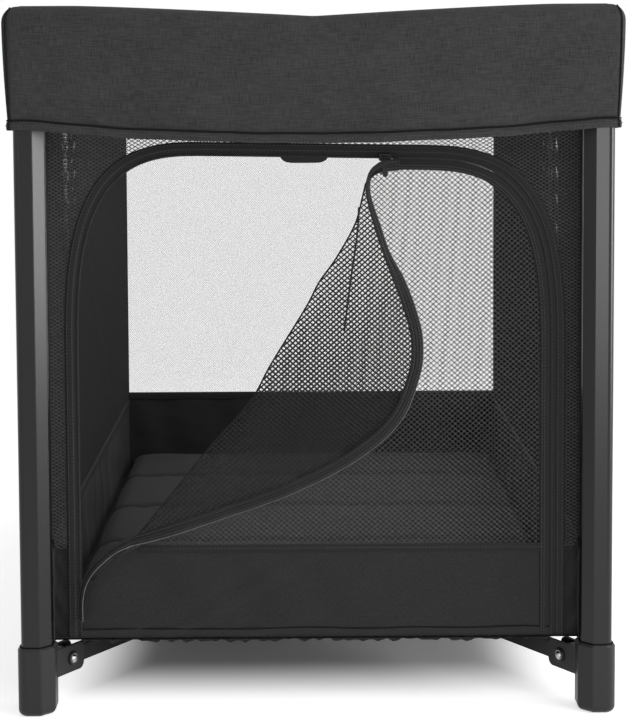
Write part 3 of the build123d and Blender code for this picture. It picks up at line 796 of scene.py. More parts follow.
def grow(name: str, lines: Sequence[Path], tree: Tree, values: dict[str, object]) -> Piece:
    """Run a tree on some paths and keep the result as a plain mesh.

    Args:
        name: Name of the piece.
        lines: Paths in three dimensions.
        tree: Geometry Nodes tree.
        values: Values by input name.

    Returns:
        The finished mesh object.
    """
    edges = []
    first = 0
    for line in lines:
        edges.extend((first + index, first + index + 1) for index in range(len(line) - 1))
        first += len(line)
    mesh = bpy.data.meshes.new(name)
    mesh.from_pydata([tuple(point) for point in np.vstack(lines)], edges, [])
    piece = bpy.data.objects.new(name, mesh)
    modifier = piece.modifiers.new("paths", "NODES")
    modifier.node_group = tree
    for socket in tree.interface.items_tree:
        if socket.in_out == "INPUT" and socket.name in values:
            modifier[socket.identifier] = values[socket.name]
    show(piece)
    bpy.context.view_layer.update()
    scene_graph = bpy.context.evaluated_depsgraph_get()
    grown = bpy.data.meshes.new_from_object(piece.evaluated_get(scene_graph))
    piece.modifiers.clear()
    piece.data = grown
    grown.name = name
    bpy.data.meshes.remove(mesh)
    return piece


def threads(name: str, lines: Sequence[Path], radius: float, finish: Finish, sides: int = 4) -> Piece:
    """Sweep round threads along paths."""
    values = {"Radius": radius, "Sides": sides, "Material": finish.material()}
    return grow(name, lines, PathTree.thread(), values)


@dataclass(frozen=True)
class Bar:
    """A small bar that repeats along paths, drawn coarser than the real one so that it shows."""

    finish: Finish
    pitch: float
    length: float
    radius: float
    sides: int

    def row(self, name: str, lines: Sequence[Path]) -> Piece:
        """Set the bars along paths.

        Args:
            name: Name of the piece.
            lines: Paths in three dimensions.

        Returns:
            All bars as one mesh.
        """
        values = {
            "Pitch": self.pitch,
            "Length": self.length,
            "Radius": self.radius,
            "Sides": self.sides,
            "Material": self.finish.material(),
        }
        return grow(name, lines, PathTree.beads(), values)


STITCH = Bar(SEWING_THREAD, 0.004, 0.0028, 0.00045, 5)
QUILT_STITCH = Bar(SEWING_THREAD, 0.0052, 0.0038, 0.00045, 5)
ZIP_TOOTH = Bar(NYLON_COIL, 0.0024, 0.0014, 0.0013, 6)
OPEN_TOOTH = Bar(NYLON_COIL, 0.0024, 0.0014, 0.0011, 6)


@dataclass
class NetPanel:
    """Knitted net: threads that cross at two slopes inside an outline, in a wall's own plane."""

    loops: list[Path]
    spacing: float
    radius: float
    slopes: Pair = (45.0, -45.0)
    step: float = 0.03
    least_cover: float = 0.301

    def strands(self) -> list[Path]:
        """Clip the crossing threads to the outline.

        Returns:
            Flat paths of the threads.
        """
        starts = np.vstack(self.loops)
        ends = np.vstack([np.roll(loop, -1, axis=0) for loop in self.loops])
        found = []
        for slope in self.slopes:
            angle = math.radians(slope)
            heading = np.array([math.cos(angle), math.sin(angle)])
            across = np.array([-heading[1], heading[0]])
            low, high = (starts @ across).min(), (starts @ across).max()
            for place in np.arange(math.ceil(low / self.spacing), high / self.spacing) * self.spacing:
                before, after = starts @ across - place, ends @ across - place
                crossed = (before <= 0) != (after <= 0)
                share = before[crossed] / (before[crossed] - after[crossed])
                hits = starts[crossed] + (ends[crossed] - starts[crossed]) * share[:, None]
                reach = np.sort(hits @ heading)
                for start, end in zip(reach[0::2], reach[1::2]):
                    if end - start > self.radius * 2:
                        count = max(2, int((end - start) / self.step) + 2)
                        spots = np.linspace(start, end, count)
                        found.append(spots[:, None] * heading + place * across)
        return found

    # By default the threads take the lighter net tone, which is painted light.
    def knit(self, name: str, place: Callable[[Path], Path], finish: Finish = LIT_NET) -> Piece:
        """Make the net's threads, and bring them from the plane to their place."""
        return threads(name, [place(strand) for strand in self.strands()], self.radius, finish)


def rectangle(left: float, right: float, low: float, high: float) -> Path:
    """Outline of a rectangle in a wall's plane."""
    return np.array([(left, low), (right, low), (right, high), (left, high)])


@dataclass
class DressedFrame:
    """Tubes, mouldings, rivets and slider of the frame, which keep their solids and get their finishes."""

    finishes: tuple[tuple[Finish, tuple[str, ...]], ...] = (
        (POWDER_COAT, ("leg_tube", "floor_arm", "cross_rail", "long_rail")),
        (MOULDED_PP, ("foot_cap", "arm_bracket", "corner_bracket", "rail_lock", "lock_button", "hub")),
        (PLATED_STEEL, ("leg_pins", "lock_pins", "hub_pins")),
        (BLACK_NICKEL, ("zip_slider", "zip_pull")),
    )

    def dress(self, nodes: dict[str, Piece]) -> None:
        """Give each solid the finish of the longest name that it starts with.

        Args:
            nodes: Solids of the frame by name.
        """
        kinds = {start: finish for finish, starts in self.finishes for start in starts}
        for name, node in nodes.items():
            fitting = [start for start in kinds if name.startswith(start)]
            if not fitting:
                continue
            finish = kinds[max(fitting, key=len)]
            for holder in node.material_slots:
                holder.material = finish.material()
        LOG.info("dressed %d solids", len(nodes))


@dataclass
class Post:
    """One leg tube and its foot cap, both with softened edges, and the heads of the arm's rivet."""

    plan: Plan
    corner: Corner
    cut: float = 0.012
    outer_round: float = 0.008
    edge_steps: int = 6
    tube_edge: float = 0.0016
    tube_low: float = 0.01
    tube_high: float = 0.785
    foot_wall: float = 0.004
    foot_edge: float = 0.0045
    foot_height: float = 0.079
    sole: float = 0.008
    sole_steps: int = 9
    rim: float = 0.0025
    rim_tilt: float = 40.0
    brow: float = 0.0003
    brow_inset: float = 0.0001
    brow_tilt: float = 35.0
    # Dark ring at the foot's top: painted shade for the shadow gap between tube and foot.
    shadow_gap_out: float = 0.001
    shadow_gap_radius: float = 0.0009
    arm_z: float = 0.052
    pivot: float = 0.05
    grip: float = 0.0226
    rivet_sides: int = 24
    dome: Profile = (
        (0.0046, 0.0), (0.0046, 0.0022), (0.0042, 0.003),
        (0.0032, 0.0037), (0.0018, 0.0041), (0.0001, 0.0042),
    )
    collar: Profile = (
        (0.0084, 0.0), (0.0084, 0.0018), (0.0078, 0.0026),
        (0.0068, 0.0028), (0.0058, 0.0024), (0.0047, 0.0012),
    )

    @property
    def signs(self) -> Array:
        """Signs of the corner along X and Y."""
        return np.array(self.corner.value[1:])

    @property
    def base(self) -> Array:
        """Place of the leg's axis in the plan."""
        return self.signs * np.array([self.plan.leg_x, self.plan.leg_y])

    def section(self, growth: float, soft: float) -> tuple[Array, Array]:
        """Draw the leg's section, with its outermost corner towards the playpen's corner.

        Args:
            growth: How far the outline lies outside the tube.
            soft: Radius of the softened edges.

        Returns:
            Points about the leg's axis, and the direction out of the outline at each.
        """
        half = self.plan.leg_half + growth
        cut = self.cut + growth * (2 - math.sqrt(2))
        flat = half - cut
        knots = [(half, -flat), (half, half), (-flat, half), (-half, flat), (-half, -half), (flat, -half)]
        radii = [soft, self.outer_round + growth, soft, soft, soft, soft]
        points, normals = [], []
        for index, (knot, radius) in enumerate(zip(knots, radii)):
            here = np.array(knot)
            back = np.array(knots[index - 1]) - here
            ahead = np.array(knots[(index + 1) % len(knots)]) - here
            back, ahead = back / np.linalg.norm(back), ahead / np.linalg.norm(ahead)
            opening = math.acos(float(np.clip(back @ ahead, -1, 1)))
            inward = (back + ahead) / np.linalg.norm(back + ahead)
            centre = here + inward * radius / math.sin(opening / 2)
            first = math.atan2(back[0], -back[1])
            for turn in np.linspace(0, math.pi - opening, self.edge_steps):
                out = np.array([math.cos(first + turn), math.sin(first + turn)])
                points.append(centre + out * radius)
                normals.append(out)
        return np.array(points), np.array(normals)

    def loft(self, name: str, levels: Sequence[Point], soft: float, finish: Finish) -> Piece:
        """Stand sections on each other.

        Args:
            name: Name of the piece.
            levels: Height, growth and upward tilt of the surface in degrees, from the bottom.
            soft: Radius of the softened edges.
            finish: Its finish.

        Returns:
            The closed piece, flat on its flats and smooth round its edges.
        """
        rings, normals = [], []
        for height, growth, tilt in levels:
            outline, out = self.section(growth, soft)
            rings.append(at_height(self.base + outline * self.signs, height))
            lean = math.radians(tilt)
            normals.append(at_height(out * self.signs * math.cos(lean), math.sin(lean)))
        faces = ring_faces(len(levels), len(rings[0]))
        if self.signs.prod() < 0:
            faces = [tuple(reversed(face)) for face in faces]
        piece = mesh_piece(name, np.vstack(rings), faces, finish)
        piece.data.normals_split_custom_set_from_vertices(np.vstack(normals).tolist())
        return piece

    def rivet(self, name: str, profile: Profile, finish: Finish) -> Piece:
        """Turn one shape about the arm's pivot, at both ends of its pin.

        Args:
            name: Name of the piece.
            profile: Radius, and height over the bracket's cheek.
            finish: Its finish.

        Returns:
            Both heads as one mesh.
        """
        axis_at = np.array([*self.base, 0.0])
        inward = -axis_at / np.linalg.norm(axis_at)
        up = np.array([0.0, 0.0, 1.0])
        centre = axis_at + inward * self.pivot + up * self.arm_z
        turns = np.linspace(0, 2 * math.pi, self.rivet_sides, endpoint=False)
        points, faces = [], []
        for end in (-1, 1):
            out = end * np.array([-inward[1], inward[0], 0.0])
            side = np.cross(up, out)
            faces += ring_faces(len(profile), self.rivet_sides, False, len(points))
            for radius, height in profile:
                middle = centre + out * (self.grip / 2 + height)
                for turn in turns:
                    points.append(middle + radius * (side * math.cos(turn) + up * math.sin(turn)))
        return mesh_piece(name, np.array(points), faces, finish)

    def build(self) -> None:
        """Stand the leg in its foot and close the rivets."""
        label = self.corner.value[0]
        ride = Ride(f"leg_{label}")
        levels = [(self.tube_low, 0.0, 0.0), (self.tube_high, 0.0, 0.0)]
        tube = self.loft(f"leg_{label}_tube", levels, self.tube_edge, POWDER_COAT)
        levels = []
        for degrees in np.linspace(0, 90, self.sole_steps):
            turn = math.radians(degrees)
            inset = self.sole * (1 - math.sin(turn))
            levels.append((self.sole * (1 - math.cos(turn)), self.foot_wall - inset, degrees - 90))
        brow = self.foot_height - self.rim
        levels.append((brow - self.brow, self.foot_wall, 0.0))
        levels.append((brow, self.foot_wall - self.brow_inset, self.brow_tilt))
        levels.append((self.foot_height, self.foot_wall - self.rim, self.rim_tilt))
        foot = self.loft(f"leg_{label}_foot", levels, self.foot_edge, MOULDED_PP)
        steel = self.rivet(f"leg_{label}_rivets", self.dome, PLATED_STEEL)
        ring = self.rivet(f"leg_{label}_collars", self.collar, MOULDED_PP)
        # An almost black ring where tube meets foot: painted shade for the shadow gap there.
        outline = self.section(self.shadow_gap_out, self.tube_edge)[0] * self.signs
        loop = at_height(self.base + outline, self.foot_height)
        shadow_gap = threads(f"leg_{label}_seal", [np.vstack([loop, loop[:1]])], self.shadow_gap_radius, SHADOW_GAP_TONE, 6)
        ride.hold(shadow_gap, "moulding")
        ride.hold(tube, "aluminium", f"leg_tube_{label}")
        ride.hold(foot, "moulding", f"foot_cap_{label}")
        ride.hold(steel, "steel")
        ride.hold(ring, "moulding")


@dataclass
class RailCover:
    """Canvas sleeve over the top rails: four spans and four whole corners, each carried by a leg."""

    plan: Plan
    ease: float = 0.027
    lap: float = 0.018
    top: float = 0.8008
    crown: float = 0.0005
    dip: float = 0.0125
    dip_power: float = 1.25
    level: float = 0.05
    hem: float = 0.664
    sag: float = 0.0155
    taper: float = 0.005
    taper_power: float = 1.6
    shoulder: float = 0.018
    inner_round: float = 0.009
    inner_drop: float = 0.06
    skirt_rows: int = 15
    skirt_share: float = 0.93
    skirt_end: float = 0.0122
    hem_band: float = 0.01
    hem_fold: Profile = (
        (-0.0045, 1.1), (-0.0045, 1.02), (0.0008, 0.96),
        (0.0016, 0.55), (0.0013, 0.12), (0.0004, 0.0),
    )
    thickness: float = 0.0014
    corner_reach: float = 0.075
    corner_round: float = 0.012
    corner_columns: int = 9
    corner_angles: tuple[int, ...] = (-75, -60, -45, -30, -15)
    least_bend: float = 0.0015
    past_end: float = 0.02
    fade: float = 0.05
    column_step: float = 0.008
    swell: Wave = Wave(11, 0.16, 0.0012)
    flutter: Wave = Wave(12, 0.055, 0.0004)
    hem_wave: Wave = Wave(13, 0.11, 0.0007)
    stitch_row: int = -3
    stitch_lift: float = 0.0003
    # Rows between which a dark cord lies in the hem groove: painted shade for the groove's dark line.
    shade_groove_rows: tuple[int, int] = (-7, -4)
    piping_row: int = 13
    piping_lift: float = 0.0006
    skirt_row: int = 20
    cord_radius: float = 0.001

    def profile(self) -> list[Point]:
        """Draw the sleeve's section from its inner edge over the rail to its hem.

        Returns:
            Place out of the leg axis, share of the way from hem to top, and drop from there.
        """
        rows = [(-self.lap, 1.0, -self.inner_drop * share) for share in (1.0, 0.75, 0.5, 0.3)]
        for degrees in (180, 150, 120, 90):
            angle = math.radians(degrees)
            reach = -self.lap + self.inner_round * (1 + math.cos(angle))
            rows.append((reach, 1.0, -self.inner_round * (1 - math.sin(angle))))
        first, last = self.inner_round - self.lap, self.ease - self.shoulder
        for share in (0.3, 0.6, 0.9):
            rows.append((first + (last - first) * share, 1.0, self.crown))
        for degrees in (90, 75, 60, 45, 30, 15, 0):
            angle = math.radians(degrees)
            reach = self.ease - self.shoulder * (1 - math.cos(angle))
            rows.append((reach, 1.0, -self.shoulder * (1 - math.sin(angle))))
        for share in np.linspace(self.skirt_share, 0.0, self.skirt_rows):
            fall = 1 - share
            reach = self.ease - self.taper * fall**self.taper_power
            rows.append((reach, share, self.skirt_end * fall - self.shoulder * share))
        foot = self.ease - self.taper
        for reach, rise in self.hem_fold:
            rows.append((foot + reach, 0.0, self.hem_band * rise))
        return rows

    def run(self, cut: float, end: float) -> Array:
        """Set stations along one run: even between the two cuts, then on to the corners.

        Args:
            cut: Where the middle part ends.
            end: Where the corner's bend starts.

        Returns:
            Places along the run, from minus to plus.
        """
        middle = np.linspace(-cut, cut, int(round(2 * cut / self.column_step)) + 1)
        outer = np.linspace(cut, end, self.corner_columns)[1:]
        return np.concatenate([-outer[::-1], middle, outer])

    def grid(self) -> tuple[ClothGrid, dict[str, list[int]]]:
        """Build the whole sleeve.

        Returns:
            The sheet, and the columns of each piece by name.
        """
        halves = (self.plan.leg_x, self.plan.leg_y)
        rows, spans = [], {}
        for reach, share, drop in self.profile():
            bend = max(self.least_bend, self.corner_round + reach - self.ease)
            places, along, names = [], [], []
            for index, side in enumerate(AROUND):
                half, away = halves[index % 2], halves[1 - index % 2] + reach
                cut, end = half - self.corner_reach, half + reach - bend
                local = [(station, -away, station) for station in self.run(cut, end)]
                for angle in np.radians(self.corner_angles):
                    x, y = end + bend * math.cos(angle), -away + bend + bend * math.sin(angle)
                    local.append((x, y, half + self.past_end))
                turn = index * math.pi / 2
                cos, sin = math.cos(turn), math.sin(turn)
                for x, y, station in local:
                    places.append((x * cos - y * sin, x * sin + y * cos))
                    along.append((station, half))
                    names.append((side.value, abs(station) <= cut + TINY))
            rows.append(self.drape(np.array(places), np.array(along), reach, share, drop))
            spans = self.split(names)
        points = np.stack(rows)
        hem_line = points[-1]
        flat = np.meshgrid(distances(hem_line), distances(points[:, len(hem_line) // 8]))
        outward = points * (1.0, 1.0, 0.0)
        return ClothGrid(points, np.stack(flat, axis=-1), closed=True).face(outward), spans

    def drape(self, places: Path, along: Path, reach: float, share: float, drop: float) -> Path:
        """Give one row its height, its dip at mid-span and its soft waves.

        Args:
            places: Plan of the row.
            along: Station on its run, and the run's half length, for each point.
            reach: Place of the row out of the leg axis.
            share: Share of the way from hem to top.
            drop: Drop from there.

        Returns:
            Points of the row.
        """
        station, half = along[:, 0], along[:, 1]
        slack = np.clip(1 - np.abs(station) / (half - self.level), 0, 1)
        top = self.top - self.dip * slack**self.dip_power
        hem = self.hem - self.sag * np.clip(1 - (station / half) ** 2, 0, 1)
        height = hem + (top - hem) * share + drop
        loose = max(0.0, 1 - share) if reach > 0 else 0.0
        lengths = distances(places)
        wave = self.swell.at(lengths) + self.flutter.at(lengths + 0.2 * share)
        wave = wave * (0.25 + 0.75 * loose) * (1.0 if reach > 0.005 else 0.3)
        ease_off = np.clip((half + self.past_end - np.abs(station)) / self.fade, 0, 1)
        off = np.abs(places) / (self.plan.leg_x, self.plan.leg_y)
        long_side = off[:, :1] > off[:, 1:]
        out = np.sign(places) * np.hstack([long_side, ~long_side])
        moved = places + out * (wave * ease_off)[:, None]
        return at_height(moved, height + self.hem_wave.at(lengths) * loose)

    def split(self, names: list[tuple[str, bool]]) -> dict[str, list[int]]:
        """Sort the columns into four spans and four corners that share their cut lines.

        Args:
            names: Side of each column, and whether it lies between that side's cuts.

        Returns:
            Columns by piece name.
        """
        order = [side.value for side in AROUND]
        total = len(names)
        found: dict[str, list[int]] = {}
        for side in order:
            found[f"span_{side}"] = [i for i, (name, inside) in enumerate(names) if name == side and inside]
        for first, second in zip(order, order[1:] + order[:1]):
            start = found[f"span_{first}"][-1]
            end = found[f"span_{second}"][0]
            count = (end - start) % total
            corner = f"{first}_{second}" if first in ("front", "back") else f"{second}_{first}"
            found[f"corner_{corner}"] = [(start + step) % total for step in range(count + 1)]
        return found

    def carrier(self, part: str) -> tuple[Ride, list[str]]:
        """Find what carries one part of the sleeve.

        Args:
            part: Name of a span or a corner.

        Returns:
            Ride on a leg, with gathering settings for a span, and the solid that the part lies on.
        """
        kind, place = part.split("_", 1)
        if kind == "corner":
            return Ride(f"leg_{place}"), [f"corner_bracket_{place}"]
        return wall_ride(self.plan, Side(place), self.corner_reach), [f"rail_lock_{place}"]

    def build(self) -> None:
        """Cut, sew and hang the sleeve."""
        grid, parts = self.grid()
        lifted = grid.points + grid.normals() * self.stitch_lift
        for part, columns in parts.items():
            ride, under = self.carrier(part)
            piece = grid.cut(f"rail_cover_{part}", MELANGE_CANVAS, self.thickness, columns)
            seam = STITCH.row(f"rail_cover_hem_stitches_{part}", [lifted[self.stitch_row, columns]])
            # A dark cord laid in the groove above the hem band: painted shade for the groove's dark line.
            upper, lower = (grid.points[row, columns] for row in self.shade_groove_rows)
            groove = [(upper + lower) / 2]
            tuck = threads(f"rail_cover_hem_shade_cord_{part}", groove, self.cord_radius, SEAM_SHADE_CANVAS, 6)
            trims = [seam, tuck]
            if part.startswith("corner"):
                # The corner's upright piping seam is real; its dark tone is painted shade.
                pipe = [self.piping(grid, columns)]
                trims.append(threads(f"rail_cover_shaded_piping_{part}", pipe, self.cord_radius, SEAM_SHADE_CANVAS, 8))
            ride.hold(piece, "cover_cloth", "rail_cover")
            ride.hold_all(trims, "cover_cloth")
            depth = float(np.ptp(grid.flat[:, 0, 1]))
            width = grid.area(columns) / depth

    def piping(self, grid: ClothGrid, columns: list[int]) -> Path:
        """Find the upright seam on the short side of a corner.

        Args:
            grid: The whole sleeve.
            columns: Columns of the corner.

        Returns:
            Path from the shoulder to the hem.
        """
        edge = self.plan.leg_x + self.ease - self.corner_round / 2
        skirt = np.abs(grid.points[self.skirt_row, columns])
        short = np.abs(skirt[:, 0] - edge) + 5.0 * (skirt[:, 1] < self.plan.leg_y)
        column = columns[int(np.argmin(short))]
        lifted = grid.points + grid.normals() * self.piping_lift
        return lifted[self.piping_row : -1, column]


@dataclass
class ClosedWall:
    """One wall without a door: net above, gathered plain cloth below, joined by a binding."""

    plan: Plan
    side: Side
    spacing: float
    radius: float
    seed: int
    low: float
    slack_at: float = 0.0
    slack_reach: float = 0.075
    slack_height: float = 0.0048
    overlap: float = 0.009
    belly: float = 0.003
    sink: float = 0.0006
    end_reach: float = 0.02
    strand_step: float = 0.05
    thickness: float = 0.0012
    tuck_under: float = 0.003
    tuck_over: float = 0.002
    column_step: float = 0.007
    rows: int = 13
    binding: float = 0.011
    binding_cloth: float = 0.0008
    binding_lens: Profile = (
        (-1.0, -0.001), (-1.0, 0.0014), (-0.5, 0.002), (0.5, 0.002), (1.0, 0.0014),
        (1.0, -0.001), (0.5, -0.0016), (-0.5, -0.0016), (-1.0, -0.001),
    )
    stitch_gap: float = 0.004
    stitch_lift: float = 0.0024

    def build(self) -> None:
        """Knit, sew and hang the wall."""
        half = self.plan.wall_half(self.side) + self.overlap
        low, high = self.low, self.plan.net_top
        ride = wall_ride(self.plan, self.side, self.plan.leg_half)
        outline = rectangle(-half, half, low, high)
        net = NetPanel([outline], self.spacing, self.radius, step=self.strand_step)
        name = self.side.value
        # The wall's net takes the darker net tone: painted shade.
        mesh = net.knit(f"{name}_wall_net", self.hang, SHADED_NET)
        cloth = self.band(half)
        band = cloth.cut(f"{name}_band", PLAIN_POLYESTER, self.thickness)
        tape = self.binding_tape(half).cut(f"{name}_binding", GROSGRAIN, self.binding_cloth)
        lift = self.outward() * self.stitch_lift
        rows = [self.level_line(half, low + gap, 60) + lift for gap in (-self.stitch_gap, self.stitch_gap)]
        thread = STITCH.row(f"{name}_binding_stitches", rows)
        trims = [tape, thread]
        ride.hold(mesh, "net", f"{name}_net")
        ride.hold(band, "band_cloth", *(["lower_band"] if self.side is Side.BACK else []))
        ride.hold_all(trims, "band_cloth")
        height = low - self.plan.floor_z
        flat = (cloth.area() / height, height)

    def outward(self) -> Array:
        """Direction out of the wall."""
        flat = np.zeros((1, 2))
        return (self.plan.on_wall(self.side, flat, 1.0) - self.plan.on_wall(self.side, flat, 0.0))[0]

    def level_line(self, half: float, height: float, count: int) -> Path:
        """Points along the wall at one height."""
        return self.hang(np.array([(along, height) for along in np.linspace(-half, half, count)]))

    def hang(self, flat: Path) -> Path:
        """Bring flat points to the wall, with the slight belly of a stretched net.

        Args:
            flat: Points along the wall and up it.

        Returns:
            The points in three dimensions, with a slack fold at the top of the long walls.
        """
        half = self.plan.wall_half(self.side)
        along, up = flat[:, 0], flat[:, 1]
        middle = np.clip(1 - (along / half) ** 2, 0, 1)
        rise = (up - self.low) / (self.plan.net_top - self.low)
        belly = self.belly * middle * np.clip(4 * rise * (1 - rise), 0, 1)
        if self.side is not Side.BACK:
            near = np.exp(-(((along - self.slack_at) / self.slack_reach) ** 2))
            ends = np.clip((half - np.abs(along)) / self.end_reach, 0, 1)
            slack = near * np.clip(2 * rise - 0.8, 0, 1) * ends
            wave = Wave(self.seed + 5, 0.075, self.slack_height)
            belly = belly + wave.at(along + 0.05 * up) * slack
        return self.plan.on_wall(self.side, flat, belly - self.sink)

    def band(self, half: float) -> ClothGrid:
        """Gather the plain cloth under the net.

        Args:
            half: Half the wall's width.

        Returns:
            The gathered cloth.
        """
        low, high = self.plan.floor_z - self.tuck_under, self.low + self.tuck_over
        along = np.linspace(-half, half, int(2 * half / self.column_step))
        u, v = np.meshgrid(along, np.linspace(low, high, self.rows))
        rise = (v - low) / (high - low)
        gather, drag = Wave(self.seed, 0.055, 0.0022), Wave(self.seed + 1, 0.07, 0.0008)
        fold = gather.at(u + 0.03 * rise) * (0.35 + 0.65 * np.sin(math.pi * rise) ** 0.7)
        ends = np.clip((half - np.abs(u)) / self.end_reach, 0, 1)
        flat = np.stack([u, v], axis=-1)
        points = self.plan.on_wall(self.side, flat, (fold + drag.at(u * 0.35 + v * 1.3)) * ends)
        return ClothGrid(points, flat).face(self.outward())

    def binding_tape(self, half: float) -> ClothGrid:
        """Wrap a binding round the seam between net and band.

        Args:
            half: Half the wall's width.

        Returns:
            The tape, closed round both faces of the wall.
        """
        path = self.level_line(half, self.low, 80)
        up = np.tile((0.0, 0.0, 1.0), (len(path), 1))
        out = np.tile(self.outward(), (len(path), 1))
        return ribbon(path, up, out, lens(self.binding / 2, self.binding_lens))


@dataclass
class DoorWall:
    """The front wall: net and cloth round an arched door, its zip, and the flap with a turned-back corner."""

    plan: Plan
    half: float = 0.284
    top: float = 0.647
    crown: float = 0.1193
    shoulder_z: float = 0.4
    roundness: float = 3.0
    tilt: float = 0.018
    tilt_rise: float = 0.2
    hem: float = 0.0785
    band_top: float = 0.185
    overlap: float = 0.009
    sink: float = 0.0006
    cloth_thickness: float = 0.0012
    binding_thickness: float = 0.0006
    tape_thickness: float = 0.0005
    sewn_lift: float = 0.0002
    tooth_lift: float = 0.0016
    surround_mesh: float = 0.0036
    surround_thread: float = 0.00044
    surround_slopes: Pair = (30.0, -30.0)
    post_edge: float = 0.2825
    post_sink: float = 0.003
    post_creases: tuple[Wave, Wave] = (Wave(30, 0.04, 0.0032), Wave(32, 0.04, 0.0032))
    slider_x: float = 0.0795
    slider_half: float = 0.009
    binding: float = 0.0105
    binding_lens: Profile = (
        (1.0, 0.0), (1.0, 0.0015), (0.5, 0.0024), (-0.5, 0.0024), (-1.0, 0.0015), (-1.0, 0.0),
    )
    binding_stitches: Pair = (0.0024, 0.0082)
    tape_end: float = 0.0138
    tape_overlap: float = 0.0022
    tape_lens: Profile = ((1.0, 0.0), (1.0, 0.0012), (-1.0, 0.0012), (-1.0, 0.0))
    flap_mesh: float = 0.0044
    flap_thread: float = 0.00046
    flap_slopes: Pair = (42.0, -40.5)
    flap_sway: Wave = Wave(41, 0.19, 0.0012)
    flap_foot: float = -0.23
    flap_start: float = 0.0158
    flap_end: float = 0.0285
    flap_lens: Profile = (
        (1.0, 0.0), (1.0, 0.001), (0.1, 0.0012), (0.0, 0.0019), (-0.6, 0.0023), (-1.0, 0.0014), (-1.0, 0.0),
    )
    flap_stitches: Pair = (0.0232, 0.0262)
    band_corner: Profile = (
        (-0.267, 0.115), (-0.26, 0.14), (-0.248, 0.158), (-0.23, 0.173), (-0.205, 0.185),
    )
    band_columns: int = 96
    band_rows: int = 20
    band_crease: Wave = Wave(52, 0.09, 0.0013)
    band_slant: Wave = Wave(53, 0.05, 0.0009)
    band_lift: float = 0.0008
    hem_wave: Wave = Wave(51, 0.13, 0.0013)
    hem_scallop: Wave = Wave(54, 0.026, 0.0024)
    hem_drop: float = 0.0012
    hem_half: float = 0.0062
    hem_lens: Profile = (
        (0.0062, -0.0008), (0.0058, 0.0012), (0.0, 0.0016), (-0.0058, 0.0012), (-0.0062, -0.0008),
    )
    # Place, lift and radius of a dark cord above the hem: painted shade for the hem's dark line.
    hem_shade_cord: float = 0.0069
    hem_shade_cord_lift: float = 0.0004
    hem_shade_cord_radius: float = 0.0009
    seam_half: float = 0.004
    seam_lens: Profile = ((1.0, 0.0), (1.0, 0.0013), (-1.0, 0.0013), (-1.0, 0.0))
    seam_start: float = -0.2
    seam_points: int = 90
    lift: float = 0.01
    lift_start: float = 0.0005
    lift_reach: float = 0.012
    corner_wave: Wave = Wave(61, 0.1, 0.0016)
    corner_thread: float = 0.0007
    roll_lift: float = 0.0012
    roll_radius: float = 0.0011
    edge_step: float = 0.004
    edge_lift: float = 0.0012
    edge_wave: Wave = Wave(62, 0.035, 0.0012)
    edge_lens: Profile = (
        (0.0066, 0.0), (0.0066, 0.0012), (0.0012, 0.0014), (0.0, 0.0004),
        (-0.0012, 0.0012), (-0.00396, 0.0022), (-0.0066, 0.0013), (-0.0066, 0.0),
    )
    edge_trims: Profile = ((-0.003, 0.0022), (0.004, 0.0016), (0.007, 0.0008))
    edge_teeth_lift: float = 0.0014
    cord_radius: float = 0.0006
    tab: tuple[float, float, float, float] = (-0.0395, 0.017, 0.625, 0.637)
    tab_thickness: float = 0.0016
    tab_lift: float = 0.0015
    tab_bow: float = 0.0008
    fold_knots: Profile = (
        (0.058, 0.602), (0.054, 0.585), (0.0454, 0.5546), (0.0239, 0.5164),
        (0.0046, 0.4894), (-0.0102, 0.4612), (-0.0501, 0.3967), (-0.0753, 0.3525),
        (-0.1267, 0.2945), (-0.1738, 0.2363), (-0.2159, 0.187), (-0.2303, 0.1733),
    )
    turned_knots: Profile = (
        (0.095, 0.6237), (0.0789, 0.6222), (0.0711, 0.6189), (0.065, 0.6145), (0.0608, 0.6078),
        (0.0594, 0.598), (0.0611, 0.5832), (0.0695, 0.5552), (0.0808, 0.5214), (0.0962, 0.4876),
        (0.1083, 0.4537), (0.1146, 0.4244), (0.1126, 0.3906), (0.0967, 0.3459), (0.0724, 0.3161),
        (0.0332, 0.2874), (-0.012, 0.2641), (-0.0597, 0.2444), (-0.1054, 0.2287), (-0.1751, 0.2055),
        (-0.22, 0.19), (-0.2469, 0.1708), (-0.2611, 0.1527), (-0.267, 0.1336), (-0.268, 0.105),
    )
    tuck_knots: Profile = ((0.05, 0.575), (0.048, 0.545), (0.04, 0.49), (0.033, 0.435))
    twists: Profile = (
        (0.0, 0.0), (0.014, 20.0), (0.04, 72.0), (0.056, 71.0), (0.075, 66.0), (0.096, 60.0),
        (0.128, 58.0), (0.146, 46.0), (0.166, 22.0), (0.19, 8.0), (0.58, 8.0), (0.68, -66.0),
    )

    @property
    def ride(self) -> Ride:
        """Ride of everything that is sewn into this wall."""
        return wall_ride(self.plan, Side.FRONT, self.plan.leg_half)

    def arch(self, inset: float, low: float) -> Path:
        """Draw the door's outline, from its left foot over the crown to its right foot.

        Args:
            inset: How far inside the outer edge the line runs.
            low: Height of both feet.

        Returns:
            Points in the wall's plane.
        """
        half, top = self.half - inset, self.top - inset
        angles = np.linspace(0, math.pi / 2, 80)
        bow = np.clip(np.cos(angles), 0, 1) ** (2 / self.roundness)
        rise = np.clip(np.sin(angles), 0, 1) ** (2 / self.roundness)
        along = self.crown + (half - self.crown) * bow
        up = self.shoulder_z + (top - self.shoulder_z) * rise
        right = np.vstack([[(half, low)], np.stack([along, up], axis=1)])
        left = right * np.array([-1.0, 1.0])
        line = np.vstack([left, right[::-1]])
        line[:, 1] -= self.tilt * line[:, 0] * np.clip((line[:, 1] - self.shoulder_z) / self.tilt_rise, 0, 1)
        return resample(line, 0.005)

